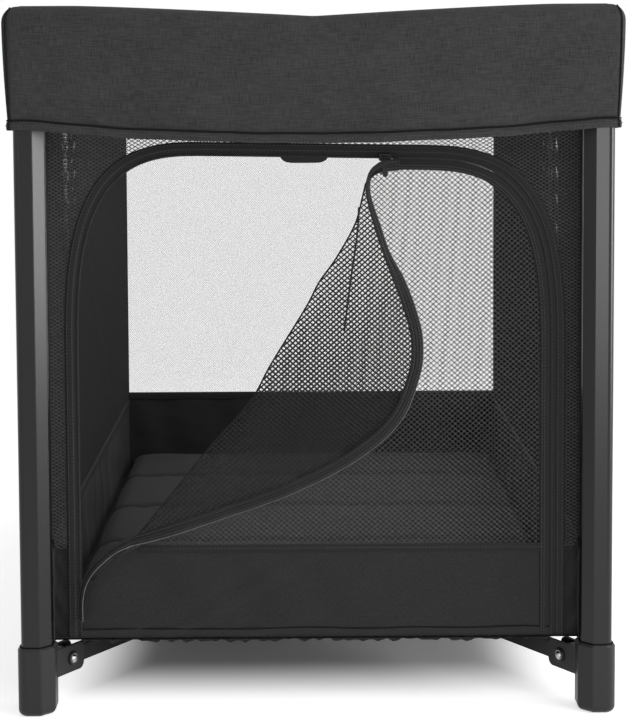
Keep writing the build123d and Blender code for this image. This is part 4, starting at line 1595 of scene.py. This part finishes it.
    def closed_part(self, inset: float, low: float) -> Path:
        """Part of the outline that is zipped shut, from the slider to the right foot."""
        line = self.arch(inset, low)
        past_slider = line[:, 0] > self.slider_x + self.slider_half
        return line[int(np.argmax(past_slider & (line[:, 1] > self.shoulder_z))) :]

    def fold_line(self) -> Path:
        """Line along which the flap is turned over."""
        return smooth_path(self.fold_knots, 0.006)

    def open_edge(self) -> Path:
        """Middle of the tape on the flap's open edge."""
        return smooth_path(self.turned_knots, self.edge_step)

    def on_front(self, flat: Path, out: Array | float = 0.0) -> Path:
        """Bring flat points to the front wall."""
        return self.plan.on_wall(Side.FRONT, flat, out)

    def cloth(self, u: Array, v: Array, out: Array, mirror: int = 1) -> ClothGrid:
        """Make a sheet in the front wall, with its outside to the front, or its mirrored copy."""
        points = self.on_front(np.stack([mirror * u, v], axis=-1), out)
        return ClothGrid(points, np.stack([u, v], axis=-1)).face((0.0, -1.0, 0.0))

    def tape(
        self, line: Path, profile: Profile, out: Array | float, twist: Array | float = 0.0
    ) -> ClothGrid:
        """Lay a tape along a line in the wall.

        Args:
            line: Middle of the tape.
            profile: Places across the tape towards the line's left, and how far each stands out.
            out: How far the middle stands out of the wall.
            twist: Turn of the tape about its middle, in radians.

        Returns:
            The tape.
        """
        path = self.on_front(line, out)
        side = left_of(line)
        across = np.stack([side[:, 0], np.zeros(len(side)), side[:, 1]], axis=1)
        away = np.tile((0.0, -1.0, 0.0), (len(line), 1))
        level = np.cos(np.zeros(len(line)) + twist)[:, None]
        turned = np.sin(np.zeros(len(line)) + twist)[:, None]
        return ribbon(path, across * level + away * turned, away * level - across * turned, profile)

    def build(self) -> None:
        """Knit, sew and hang the wall."""
        self.surround()
        self.zip_track()
        self.flap_net()
        self.flap_border()
        self.flap_band()
        self.turned_corner()
        self.edge_tape()
        self.keeper_tab()

    def surround(self) -> None:
        """Fill the wall round the door: net above, plain cloth at the foot of both posts."""
        edge = self.plan.wall_x + self.overlap
        outside = rectangle(-edge, edge, self.band_top, self.plan.net_top)
        inside = self.arch(0.002, self.band_top)
        loops = [outside, inside]
        net = NetPanel(loops, self.surround_mesh, self.surround_thread, self.surround_slopes, 0.06)
        # The surround's net takes the lighter net tone: painted light.
        mesh = net.knit("front_surround_net", lambda flat: self.on_front(flat, -self.sink))
        self.ride.hold(mesh, "net", "front_net")
        for sign, name, crease in zip((-1, 1), ("left", "right"), self.post_creases):
            along = np.linspace(self.post_edge, edge, 6)
            u, v = np.meshgrid(along, np.linspace(self.plan.floor_z, self.band_top + 0.003, 18))
            share = (u - self.post_edge) / (edge - self.post_edge)
            out = (crease.at(v - 1.6 * u) - self.post_sink) * np.sin(math.pi * share) - self.sink
            grid = self.cloth(u, v, out, sign)
            strip = grid.cut(f"front_post_cloth_{name}", PLAIN_POLYESTER, self.cloth_thickness)
            self.ride.hold(strip, "band_cloth")

    def zip_track(self) -> None:
        """Sew the binding, the zip tape and the teeth round the doorway."""
        low = self.plan.floor_z + 0.002
        section = lens(self.binding / 2, self.binding_lens)
        line = self.arch(self.binding / 2, low)
        grid = self.tape(line, section, self.sewn_lift)
        binding = grid.cut("door_binding", GROSGRAIN, self.binding_thickness)
        middle = (self.binding + self.tape_end) / 2
        reach = (self.tape_end - self.binding) / 2 + self.tape_overlap
        grid = self.tape(self.arch(middle, low), lens(reach, self.tape_lens), self.sewn_lift)
        tape = grid.cut("door_zip_tape", ZIP_TAPE, self.tape_thickness)
        coil = self.on_front(self.arch(self.tape_end + 0.0006, low), self.tooth_lift)
        teeth = ZIP_TOOTH.row("door_zip_teeth", [coil])
        rows = [self.on_front(self.arch(inset, low), 0.0025) for inset in self.binding_stitches]
        thread = STITCH.row("door_binding_stitches", rows)
        trims = [tape, teeth, thread]
        self.ride.hold(binding, "zip", "door_zip")
        self.ride.hold_all(trims, "zip")

    def flap_net(self) -> None:
        """Knit the part of the flap that stays in the wall's plane."""
        border = self.closed_part(self.flap_end - 0.002, self.band_top)
        foot = np.array([(self.flap_foot, self.band_top - 0.002)])
        outline = np.vstack([self.fold_line()[:-1], foot, border[::-1]])
        net = NetPanel([outline], self.flap_mesh, self.flap_thread, self.flap_slopes, 0.03)
        # The flap's net takes the lighter net tone: painted light.
        mesh = net.knit("door_flap_net", self.sway)
        self.ride.hold(mesh, "net", "door_flap")

    def sway(self, flat: Path) -> Path:
        """Bring points of the flap's net to the wall, a little slack."""
        return self.on_front(flat, self.flap_sway.at(flat[:, 0] + 0.15 * flat[:, 1]) - 0.0005)

    def flap_border(self) -> None:
        """Sew the zip tape and the binding along the flap's closed edge."""
        low = self.plan.floor_z + 0.004
        line = self.closed_part((self.flap_start + self.flap_end) / 2, low)
        section = lens((self.flap_end - self.flap_start) / 2, self.flap_lens)
        grid = self.tape(line, section, self.sewn_lift)
        piece = grid.cut("door_flap_border", GROSGRAIN, self.binding_thickness)
        rows = [self.on_front(self.closed_part(inset, low), 0.0024) for inset in self.flap_stitches]
        thread = STITCH.row("door_flap_border_stitches", rows)
        coil = self.on_front(self.closed_part(self.flap_start - 0.0004, low), self.tooth_lift)
        teeth = ZIP_TOOTH.row("door_flap_teeth", [coil])
        trims = [thread, teeth]
        self.ride.hold_all([piece, *trims], "zip")

    def flap_band(self) -> None:
        """Hang the plain cloth at the flap's foot, with its hem and its seam to the net."""
        edge = self.half - self.flap_start
        along = np.linspace(-edge, edge, self.band_columns)
        top = np.interp(along, *np.array(self.band_corner).T, right=self.band_top + 0.002)
        smooth = self.hem + self.hem_wave.at(along)
        low = smooth - self.hem_drop + self.hem_scallop.at(along)
        share = np.linspace(0, 1, self.band_rows)[:, None]
        v = low + (top - low) * share
        u = np.tile(along, (self.band_rows, 1))
        crease = self.band_crease.at(u + 0.5 * v) * np.sin(math.pi * share)
        loose = np.clip((0.3 - u) / 0.45, 0.25, 1.0)
        out = (crease + self.band_slant.at(0.6 * u - v)) * loose + self.band_lift
        grid = self.cloth(u, v, out)
        piece = grid.cut("door_flap_band", PLAIN_POLYESTER, self.cloth_thickness)
        hem_line = np.stack([along, smooth + self.hem_half], axis=1)
        hem_tape = self.tape(hem_line, self.hem_lens, out[0])
        hem = hem_tape.cut("door_flap_hem", PLAIN_POLYESTER, self.binding_thickness)
        seam_x = np.linspace(self.seam_start, edge - 0.01, self.seam_points)
        seam_line = np.stack([seam_x, np.full(self.seam_points, self.band_top)], axis=1)
        seam_out = np.interp(seam_x, along, out[-1])
        seam_tape = self.tape(seam_line, lens(self.seam_half, self.seam_lens), seam_out)
        seam = seam_tape.cut("door_flap_seam", GROSGRAIN, self.tape_thickness)
        thread = STITCH.row("door_flap_band_stitches", [self.on_front(seam_line, seam_out + 0.0016)])
        # A dark cord above the hem: painted shade for the dark line under the hem's fold.
        crook = self.on_front(hem_line + (0, self.hem_shade_cord), out[0] + self.hem_shade_cord_lift)
        tuck = threads("door_flap_hem_shade_cord", [crook], self.hem_shade_cord_radius, SEAM_SHADE_CANVAS, 6)
        trims = [hem, seam, thread, tuck]
        self.ride.hold_all([piece, *trims], "band_cloth")
        height = self.band_top - self.hem
        flat = (grid.area() / height, height)

    def corner_out(self, flat: Path) -> Array:
        """How far the turned corner stands out, rising fast behind its fold.

        Args:
            flat: Points of the corner in the wall's plane.

        Returns:
            Distance out of the wall for each point.
        """
        fold = self.fold_line()
        gap = np.sqrt(((flat[:, None, :] - fold[None, :, :]) ** 2).sum(axis=2)).min(axis=1)
        rise = np.sqrt(gap / (gap + self.lift_reach))
        wave = self.corner_wave.at(flat[:, 0] - 0.6 * flat[:, 1])
        return self.lift_start + (self.lift + wave) * rise

    def on_corner(self, flat: Path) -> Path:
        """Bring flat points to the turned corner."""
        return self.on_front(flat, self.corner_out(flat))

    def turned_corner(self) -> None:
        """Knit the corner that is folded over the flap, and roll its fold and its tuck."""
        fold, edge = self.fold_line(), self.open_edge()
        last = int(np.argmin(np.linalg.norm(edge - fold[-1], axis=1)))
        outline = np.vstack([fold, edge[: last + 1][::-1]])
        net = NetPanel([outline], self.flap_mesh, self.corner_thread, self.flap_slopes, 0.012)
        # The turned corner's net and its rolls take the darker net tone: painted shade.
        mesh = net.knit("door_corner_net", self.on_corner, SHADED_NET)
        tuck = smooth_path(self.tuck_knots, 0.006)
        rolled = self.on_front(tuck, self.corner_out(tuck) + self.roll_lift)
        rolls = [self.on_front(fold, self.roll_lift), rolled]
        roll = threads("door_corner_fold", rolls, self.roll_radius, SHADED_NET, 6)
        self.ride.hold_all([mesh, roll], "net")

    def edge_tape(self) -> None:
        """Sew binding, tape, a pale cord and teeth along the open edge, which waves a little; the cord's pale
        tone is a painted highlight.
        """
        edge = self.open_edge()
        stations = np.arange(len(edge)) * self.edge_step
        out = self.corner_out(edge) + self.edge_lift + self.edge_wave.at(stations)
        twist = -np.radians(np.interp(stations, *np.array(self.twists).T))
        grid = self.tape(edge, self.edge_lens, out, twist)
        piece = grid.cut("door_edge_tape", GROSGRAIN, self.binding_thickness)
        teeth = OPEN_TOOTH.row("door_edge_teeth", [self.on_front(edge, out + self.edge_teeth_lift)])
        inner, outer, rim = self.tape(edge, self.edge_trims, out, twist).points
        thread = STITCH.row("door_edge_stitches", [inner, outer])
        # Pale cord along the tape's rim: painted highlight for the thin bright line of the edge.
        cord = threads("door_edge_highlight_cord", [rim], self.cord_radius, EDGE_HIGHLIGHT_CORD, 6)
        trims = [teeth, thread, cord]
        self.ride.hold_all([piece, *trims], "zip")

    def keeper_tab(self) -> None:
        """Hang the small rounded tab under the crown's binding."""
        left, right, low, high = self.tab
        across = np.sin(np.linspace(-math.pi / 2, math.pi / 2, 25))
        foot = high - (high - low) * (1 - 0.98 * across**6) ** 0.6
        share = np.linspace(0, 1, 6)[:, None]
        u = np.tile((left + right) / 2 + (right - left) / 2 * across, (6, 1))
        v = foot + (high - foot) * share
        out = self.tab_lift + self.tab_bow * np.sin(math.pi * share) + 0 * u
        piece = self.cloth(u, v, out).cut("door_keeper_tab", GROSGRAIN, self.tab_thickness)
        self.ride.hold(piece, "zip")


@dataclass
class PlayFloor:
    """The quilted mat and the cloth floor under it, each in four quarters that rise with the arms."""

    plan: Plan
    mat_half: Pair = (0.2985, 0.4885)
    mat_low: float = 0.0832
    mat_edge: float = 0.1035
    mat_crown: float = 0.1085
    corner_round: float = 0.016
    swell_room: float = 0.004
    outline_step: float = 0.03
    voxel: float = 0.0055
    swell_cap: float = 0.005
    pressure: float = 4.0
    stiffness: float = 25.0
    frames: int = 20
    sole: float = 0.002
    seams: tuple[float, ...] = (-0.335, -0.135, 0.08, 0.3)
    seam_depth: float = 0.007
    seam_width: float = 0.0055
    pucker: Wave = Wave(71, 0.034, 0.0011)
    pucker_reach: float = 0.03
    billow: Wave = Wave(72, 0.16, 0.0009)
    waist: Wave = Wave(73, 0.12, 0.0012)
    waist_depth: float = 0.0035
    waist_reach: float = 0.03
    stitch_beside: float = 0.0022
    stitch_lift: float = 0.0003
    stitch_margin: float = 0.014
    fill: float = 0.5
    keep: float = 0.1
    floor_low: float = 0.0802
    floor_thickness: float = 0.0022
    floor_overlap: float = 0.004
    floor_wave: Wave = Wave(81, 0.12, 0.0002)

    def arm_ride(self, corner: Corner) -> Ride:
        """Give the ride of a quarter: on its arm, with settings for gathering towards it.

        Args:
            corner: Corner of the quarter.

        Returns:
            Ride on the corner's arm.
        """
        name, side_x, side_y = corner.value
        heading = np.array([side_x * self.plan.leg_x, side_y * self.plan.leg_y])
        heading /= np.linalg.norm(heading)
        return Ride(f"arm_{name}", (float(-heading[1]), float(heading[0]), 0.0), keep=self.keep)

    def slab(self) -> Piece:
        """Make the mat's first shape: a low slab with round corners and a drawn-in waist.

        Returns:
            A closed mesh, slightly smaller than the swollen mat.
        """
        inner = np.array(self.mat_half) - self.swell_room - self.corner_round
        outline = []
        for index, signs in enumerate(((1, 1), (-1, 1), (-1, -1), (1, -1))):
            for turn in np.linspace(0, math.pi / 2, 7) + index * math.pi / 2:
                outline.append(inner * signs + self.corner_round * np.array([math.cos(turn), math.sin(turn)]))
        outline = resample(np.vstack([outline, outline[:1]]), self.outline_step)[:-1]
        levels = [
            (self.mat_low, 0.005),
            (self.mat_low + 0.003, 0.0),
            ((self.mat_low + self.mat_edge) / 2, -0.001),
            (self.mat_edge - 0.003, 0.0),
            (self.mat_edge, 0.006),
        ]
        length = np.linalg.norm(outline, axis=1, keepdims=True)
        rings = [at_height(outline * (1 - inset / length), height) for height, inset in levels]
        faces = ring_faces(len(levels), len(outline))
        return mesh_piece("mattress_whole", np.vstack(rings), faces, BRUSHED_POLYESTER)

    def swell(self, mat: Piece) -> None:
        """Remesh the slab and let cloth under pressure swell it, with a cap on how far a point moves.

        Args:
            mat: The slab, which is changed.
        """
        bpy.context.view_layer.objects.active = mat
        mat.select_set(True)
        remesh = mat.modifiers.new("remesh", "REMESH")
        remesh.mode = "VOXEL"
        remesh.voxel_size = self.voxel
        bpy.ops.object.modifier_apply(modifier=remesh.name)
        rest = vertex_points(mat.data)
        swollen = rest.copy()
        cloth = mat.modifiers.new("swell", "CLOTH")
        cloth.settings.use_pressure = True
        cloth.settings.uniform_pressure_force = self.pressure
        cloth.settings.effector_weights.gravity = 0.0
        cloth.settings.tension_stiffness = self.stiffness
        cloth.settings.quality = 3
        scene = bpy.context.scene
        for frame in range(1, self.frames + 1):
            scene.frame_set(frame)
        swollen = vertex_points(mat.evaluated_get(bpy.context.evaluated_depsgraph_get()).to_mesh())
        mat.modifiers.remove(cloth)
        scene.frame_set(1)
        shift = swollen - rest
        size = np.linalg.norm(shift, axis=1, keepdims=True)
        shift *= np.minimum(1.0, self.swell_cap / np.maximum(size, TINY))
        shift[:, 2] = np.where(rest[:, 2] < self.mat_low + self.sole, 0.0, shift[:, 2])
        self.quilt(mat, rest + shift)

    def quilt(self, mat: Piece, points: Array) -> None:
        """Crown the mat and draw in its sewn channels, with the puckers that the seams pull.

        Args:
            mat: The remeshed mat.
            points: Its swollen points.
        """
        x, y = points[:, 0], points[:, 1]
        upper = np.clip((points[:, 2] - self.mat_low - 0.004) / 0.006, 0, 1)
        edge_x = np.clip(1 - (x / self.mat_half[0]) ** 4, 0, 1)
        bounds = np.array([-self.mat_half[1], *self.seams, self.mat_half[1]])
        channel = np.clip(np.searchsorted(bounds, y) - 1, 0, len(bounds) - 2)
        start, end = bounds[channel], bounds[channel + 1]
        puff = np.sin(math.pi * np.clip((y - start) / (end - start), 0, 1)) ** 0.45
        gap = np.abs(y[:, None] - np.array(self.seams)[None, :]).min(axis=1)
        pulled = np.exp(-((gap / self.pucker_reach) ** 2)) * (gap > 0.002)
        lift = (self.mat_crown - self.mat_edge) * puff * (0.45 + 0.55 * edge_x)
        lift -= self.seam_depth * np.exp(-((gap / self.seam_width) ** 2)) * edge_x**0.3
        lift += self.pucker.at(x + 0.05 * channel) * pulled + self.billow.at(x * 0.8 + y * 0.5)
        near_side = np.clip((np.abs(x) - self.mat_half[0] + self.waist_reach) / self.waist_reach, 0, 1)
        drawn = self.waist_depth * np.exp(-((gap / 0.02) ** 2)) + self.waist.height + self.waist.at(y)
        points = points.copy()
        points[:, 2] = np.maximum(points[:, 2] + lift * upper, self.mat_low)
        points[:, 0] -= np.sign(x) * near_side * drawn
        inside = np.array(self.mat_half)
        points[:, :2] = np.clip(points[:, :2], -inside, inside)
        mat.data.vertices.foreach_set("co", points.astype(np.float32).ravel())
        mat.data.update()

    def quarter(self, whole: Piece, corner: Corner, name: str) -> Piece:
        """Cut one quarter out of a closed piece and close the cuts.

        Args:
            whole: Closed piece about the middle of the floor.
            corner: Corner whose quarter is kept.
            name: Name of the quarter.

        Returns:
            The quarter, with the whole piece's normals, and a flat map seen from above.
        """
        shape = bmesh.new()
        shape.from_mesh(whole.data)
        _, side_x, side_y = corner.value
        for away in ((-side_x, 0, 0), (0, -side_y, 0)):
            parts = shape.verts[:] + shape.edges[:] + shape.faces[:]
            plane = {"plane_co": (0, 0, 0), "plane_no": away}
            found = bmesh.ops.bisect_plane(shape, geom=parts, clear_outer=True, **plane)
            rim = [part for part in found["geom_cut"] if isinstance(part, bmesh.types.BMEdge)]
            bmesh.ops.holes_fill(shape, edges=rim, sides=0)
        mesh = bpy.data.meshes.new(name)
        shape.to_mesh(mesh)
        shape.free()
        mesh.materials.append(whole.data.materials[0])
        mesh.shade_smooth()
        piece = bpy.data.objects.new(name, mesh)
        show(piece)
        self.keep_normals(whole, piece)
        points = vertex_points(mesh)
        set_flat_map(mesh, points[:, :2] + points[:, 2:] * 0.7)
        return piece

    def keep_normals(self, whole: Piece, piece: Piece) -> None:
        """Copy the whole piece's normals to a quarter, so that quarters join without a line.

        Args:
            whole: The whole piece.
            piece: Its quarter, which is changed.
        """
        surface = BVHTree.FromObject(whole, bpy.context.evaluated_depsgraph_get())
        polygons = whole.data.polygons
        smooth = [vertex.normal.copy() for vertex in whole.data.vertices]
        normals = []
        for vertex in piece.data.vertices:
            spot, _, face, _ = surface.find_nearest(vertex.co)
            around = polygons[face].vertices
            weights = [1.0 / (1e-6 + (whole.data.vertices[index].co - spot).length) for index in around]
            mixed = Vector((0.0, 0.0, 0.0))
            for index, weight in zip(around, weights):
                mixed += smooth[index] * weight
            normals.append(mixed.normalized())
        piece.data.normals_split_custom_set_from_vertices([tuple(normal) for normal in normals])

    def seam_threads(self, whole: Piece, corner: Corner) -> list[Path]:
        """Find the two rows of stitches beside each seam of one quarter.

        Args:
            whole: The quilted mat.
            corner: Corner of the quarter.

        Returns:
            Paths on the mat's top.
        """
        _, side_x, side_y = corner.value
        surface = BVHTree.FromObject(whole, bpy.context.evaluated_depsgraph_get())
        paths = []
        for seam in self.seams:
            if seam * side_y < 0:
                continue
            for beside in (-self.stitch_beside, self.stitch_beside):
                path = []
                for along in np.linspace(0.002, self.mat_half[0] - self.stitch_margin, 60):
                    above = Vector((side_x * along, seam + beside, 1.0))
                    hit, _, _, _ = surface.ray_cast(above, Vector((0, 0, -1)))
                    if hit is not None:
                        path.append((hit.x, hit.y, hit.z + self.stitch_lift))
                if len(path) > 1:
                    paths.append(np.array(path))
        return paths

    def floor_sheet(self) -> Piece:
        """Make the cloth floor as one thin closed sheet.

        Returns:
            The sheet, as large as the walls allow.
        """
        half_x, half_y = self.floor_half()
        u, v = np.meshgrid(np.linspace(-half_x, half_x, 41), np.linspace(-half_y, half_y, 61))
        height = self.floor_wave.at(u + 0.3 * v) + self.floor_low + self.floor_thickness
        grid = ClothGrid(np.stack([u, v, height], axis=-1), np.stack([u, v], axis=-1)).face((0.0, 0.0, 1.0))
        return grid.cut("floor_whole", PLAIN_POLYESTER, self.floor_thickness)

    def floor_half(self) -> Pair:
        """Half the cloth floor's width and length, which is also a quarter's flat size."""
        return self.plan.wall_x + self.floor_overlap, self.plan.wall_y + self.floor_overlap

    def build(self) -> None:
        """Swell, quilt, cut and lay the mat and its floor."""
        mat = self.slab()
        self.swell(mat)
        floor = self.floor_sheet()
        for corner in Corner:
            name = corner.value[0]
            ride = self.arm_ride(corner)
            quarter = self.quarter(mat, corner, f"mattress_{name}")
            thread = QUILT_STITCH.row(f"mattress_stitches_{name}", self.seam_threads(mat, corner))
            sheet = self.quarter(floor, corner, f"floor_{name}")
            ride.hold(quarter, "quilt", "mattress")
            ride.hold(thread, "quilt")
            ride.hold(sheet, "band_cloth", "floor_panel")
        for whole in (mat, floor):
            bpy.data.objects.remove(whole)


@dataclass(frozen=True)
class Lamp:
    """A square soft box that looks at the middle of the playpen."""

    name: str
    place: Point
    size: float
    power: float
    aim: Point = (0.0, 0.0, 0.4)

    def hang(self) -> None:
        """Hang the soft box."""
        data = bpy.data.lights.new(self.name, "AREA")
        data.shape = "SQUARE"
        data.size = self.size
        data.energy = self.power
        lamp = bpy.data.objects.new(self.name, data)
        lamp.location = self.place
        lamp.rotation_euler = (Vector(self.aim) - Vector(self.place)).to_track_quat("-Z", "Y").to_euler()
        show(lamp)


@dataclass
class Studio:
    """White sweep, soft lights and the camera."""

    lens: float = 97.5
    sensor: float = 36.0
    shift: float = -0.18
    camera_at: Point = (-0.015, -2.6882, 0.7155)
    yaw: float = -0.36
    pitch: float = 4.342
    roll: float = -0.28
    lamps: tuple[Lamp, ...] = (
        Lamp("front strip", (0.74, -3.3, 0.5), 0.9, 22.0),
        Lamp("side strip", (3.2, -0.97, 0.6), 1.2, 66.0),
        Lamp("left strip", (-2.0, -3.3, 0.75), 0.8, 2.5),
        Lamp("key", (2.1, -2.0, 2.1), 1.6, 38.0),
        Lamp("top", (0.0, 0.2, 3.0), 2.4, 18.0),
    )
    white: Colour = (1.0, 1.0, 1.0, 1.0)
    around: float = 0.3
    paper: Colour = (0.93, 0.93, 0.93, 1.0)
    paper_glow: float = 0.64
    # Footprint inside which the floor's glow is taken away: painted shadow under the playpen, on top of its
    # real shadow.
    footprint: Pair = (0.335, 0.525)
    shadow_core: float = 0.58
    shadow_edge: float = 0.9
    fade_start: float = 0.9
    fade_end: float = 2.2
    reach: float = 14.0

    def camera(self) -> None:
        """Place the camera level with the cover's hem, looking slightly down."""
        data = bpy.data.cameras.new("camera")
        data.lens = self.lens
        data.sensor_width = self.sensor
        data.shift_y = self.shift
        camera = bpy.data.objects.new("camera", data)
        turn = Matrix.Rotation(math.radians(self.yaw), 4, "Z")
        tilt = Matrix.Rotation(math.radians(90 - self.pitch), 4, "X")
        lean = Matrix.Rotation(math.radians(self.roll), 4, "Z")
        camera.matrix_world = Matrix.Translation(self.camera_at) @ turn @ tilt @ lean
        show(camera)
        bpy.context.scene.camera = camera

    def seen_share(self, tree: Tree) -> Node:
        """Tell the rays that see the background, directly, mirrored or through glass, from the others.

        Args:
            tree: Tree of the material or world.

        Returns:
            Node that is one for seeing rays and zero for the others.
        """
        path = add_node(tree, "ShaderNodeLightPath")
        links = {0: path.outputs["Is Camera Ray"], 1: path.outputs["Is Glossy Ray"]}
        first = add_node(tree, "ShaderNodeMath", {"operation": "MAXIMUM"}, links)
        links = {0: first, 1: path.outputs["Is Transmission Ray"]}
        return add_node(tree, "ShaderNodeMath", {"operation": "MAXIMUM"}, links)

    def world(self) -> None:
        """Light softly from all round, and show white."""
        world = bpy.data.worlds.new("white studio")
        world.use_nodes = True
        tree = world.node_tree
        tree.nodes.clear()
        around = add_node(tree, "ShaderNodeBackground", {"Color": self.white, "Strength": self.around})
        shown = add_node(tree, "ShaderNodeBackground", {"Color": self.white, "Strength": 1.0})
        links = {0: self.seen_share(tree), 1: around, 2: shown}
        mixed = add_node(tree, "ShaderNodeMixShader", None, links)
        add_node(tree, "ShaderNodeOutputWorld", None, {"Surface": mixed})
        bpy.context.scene.world = world

    def floor(self) -> None:
        """Lay the white floor, which keeps the playpen's shadow; inside the playpen's footprint its glow is
        taken away, which paints the floor there darker as shadow.
        """
        material = bpy.data.materials.new("white paper sweep")
        material.use_nodes = True
        tree = material.node_tree
        tree.nodes.clear()
        paper = add_node(tree, "ShaderNodeBsdfDiffuse", {"Color": self.paper})
        seen = self.seen_share(tree)
        place = add_node(tree, "ShaderNodeTexCoord").outputs["Object"]
        # Painted shadow: the glow fades to nothing towards the middle of the footprint, so the floor under the
        # playpen is darker than its real shadow alone.
        width, length = self.footprint
        shares = {"operation": "MULTIPLY", 1: (1 / width, 1 / length, 0.0)}
        scaled = add_node(tree, "ShaderNodeVectorMath", shares, {0: place})
        sizes = add_node(tree, "ShaderNodeVectorMath", {"operation": "ABSOLUTE"}, {0: scaled})
        parts = add_node(tree, "ShaderNodeSeparateXYZ", None, {0: sizes})
        links = {0: parts, 1: parts.outputs[1]}
        outside = add_node(tree, "ShaderNodeMath", {"operation": "MAXIMUM"}, links)
        limits = {
            "interpolation_type": "SMOOTHSTEP",
            "From Min": self.shadow_core,
            "From Max": self.shadow_edge,
            "To Max": self.paper_glow,
        }
        clear = add_node(tree, "ShaderNodeMapRange", limits, {"Value": outside})
        glow = add_node(tree, "ShaderNodeMath", {"operation": "MULTIPLY"}, {0: clear, 1: seen})
        lifted = add_node(tree, "ShaderNodeEmission", None, {"Strength": glow})
        near = add_node(tree, "ShaderNodeAddShader", None, {0: paper, 1: lifted})
        white = add_node(tree, "ShaderNodeEmission", {"Strength": 1.0})
        distance = add_node(tree, "ShaderNodeVectorMath", {"operation": "LENGTH"}, {0: place})
        limits = {"From Min": self.fade_start, "From Max": self.fade_end}
        fade = add_node(tree, "ShaderNodeMapRange", limits, {"Value": distance.outputs["Value"]})
        share = add_node(tree, "ShaderNodeMath", {"operation": "MULTIPLY"}, {0: fade, 1: seen})
        mixed = add_node(tree, "ShaderNodeMixShader", None, {0: share, 1: near, 2: white})
        add_node(tree, "ShaderNodeOutputMaterial", None, {"Surface": mixed})
        mesh = bpy.data.meshes.new("floor")
        corners = at_height(rectangle(-self.reach, self.reach, -self.reach, self.reach), 0.0)
        mesh.from_pydata(corners.tolist(), [], [(0, 1, 2, 3)])
        mesh.materials.append(material)
        sweep = bpy.data.objects.new("floor", mesh)
        show(sweep)

    def build(self) -> None:
        """Set up camera, lamps, world and floor."""
        bpy.context.scene.view_settings.view_transform = "Standard"
        self.camera()
        for lamp in self.lamps:
            lamp.hang()
        self.world()
        self.floor()


def main() -> None:
    """Build the playpen's looks in order."""
    logging.basicConfig(level=logging.INFO, format="%(name)s: %(message)s")
    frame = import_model()
    plan = Plan()
    DressedFrame().dress(frame["nodes"])
    for corner in Corner:
        Post(plan, corner).build()
    RailCover(plan).build()
    ClosedWall(plan, Side.BACK, spacing=0.002, radius=0.00015, seed=21, low=0.2025).build()
    for side, seed, slack_at in ((Side.LEFT, 23, -0.28), (Side.RIGHT, 25, -0.2)):
        ClosedWall(plan, side, 0.003, 0.00036, seed, plan.band_top, slack_at).build()
    DoorWall(plan).build()
    PlayFloor(plan).build()
    Studio().build()


if __name__ == "__main__":
    main()
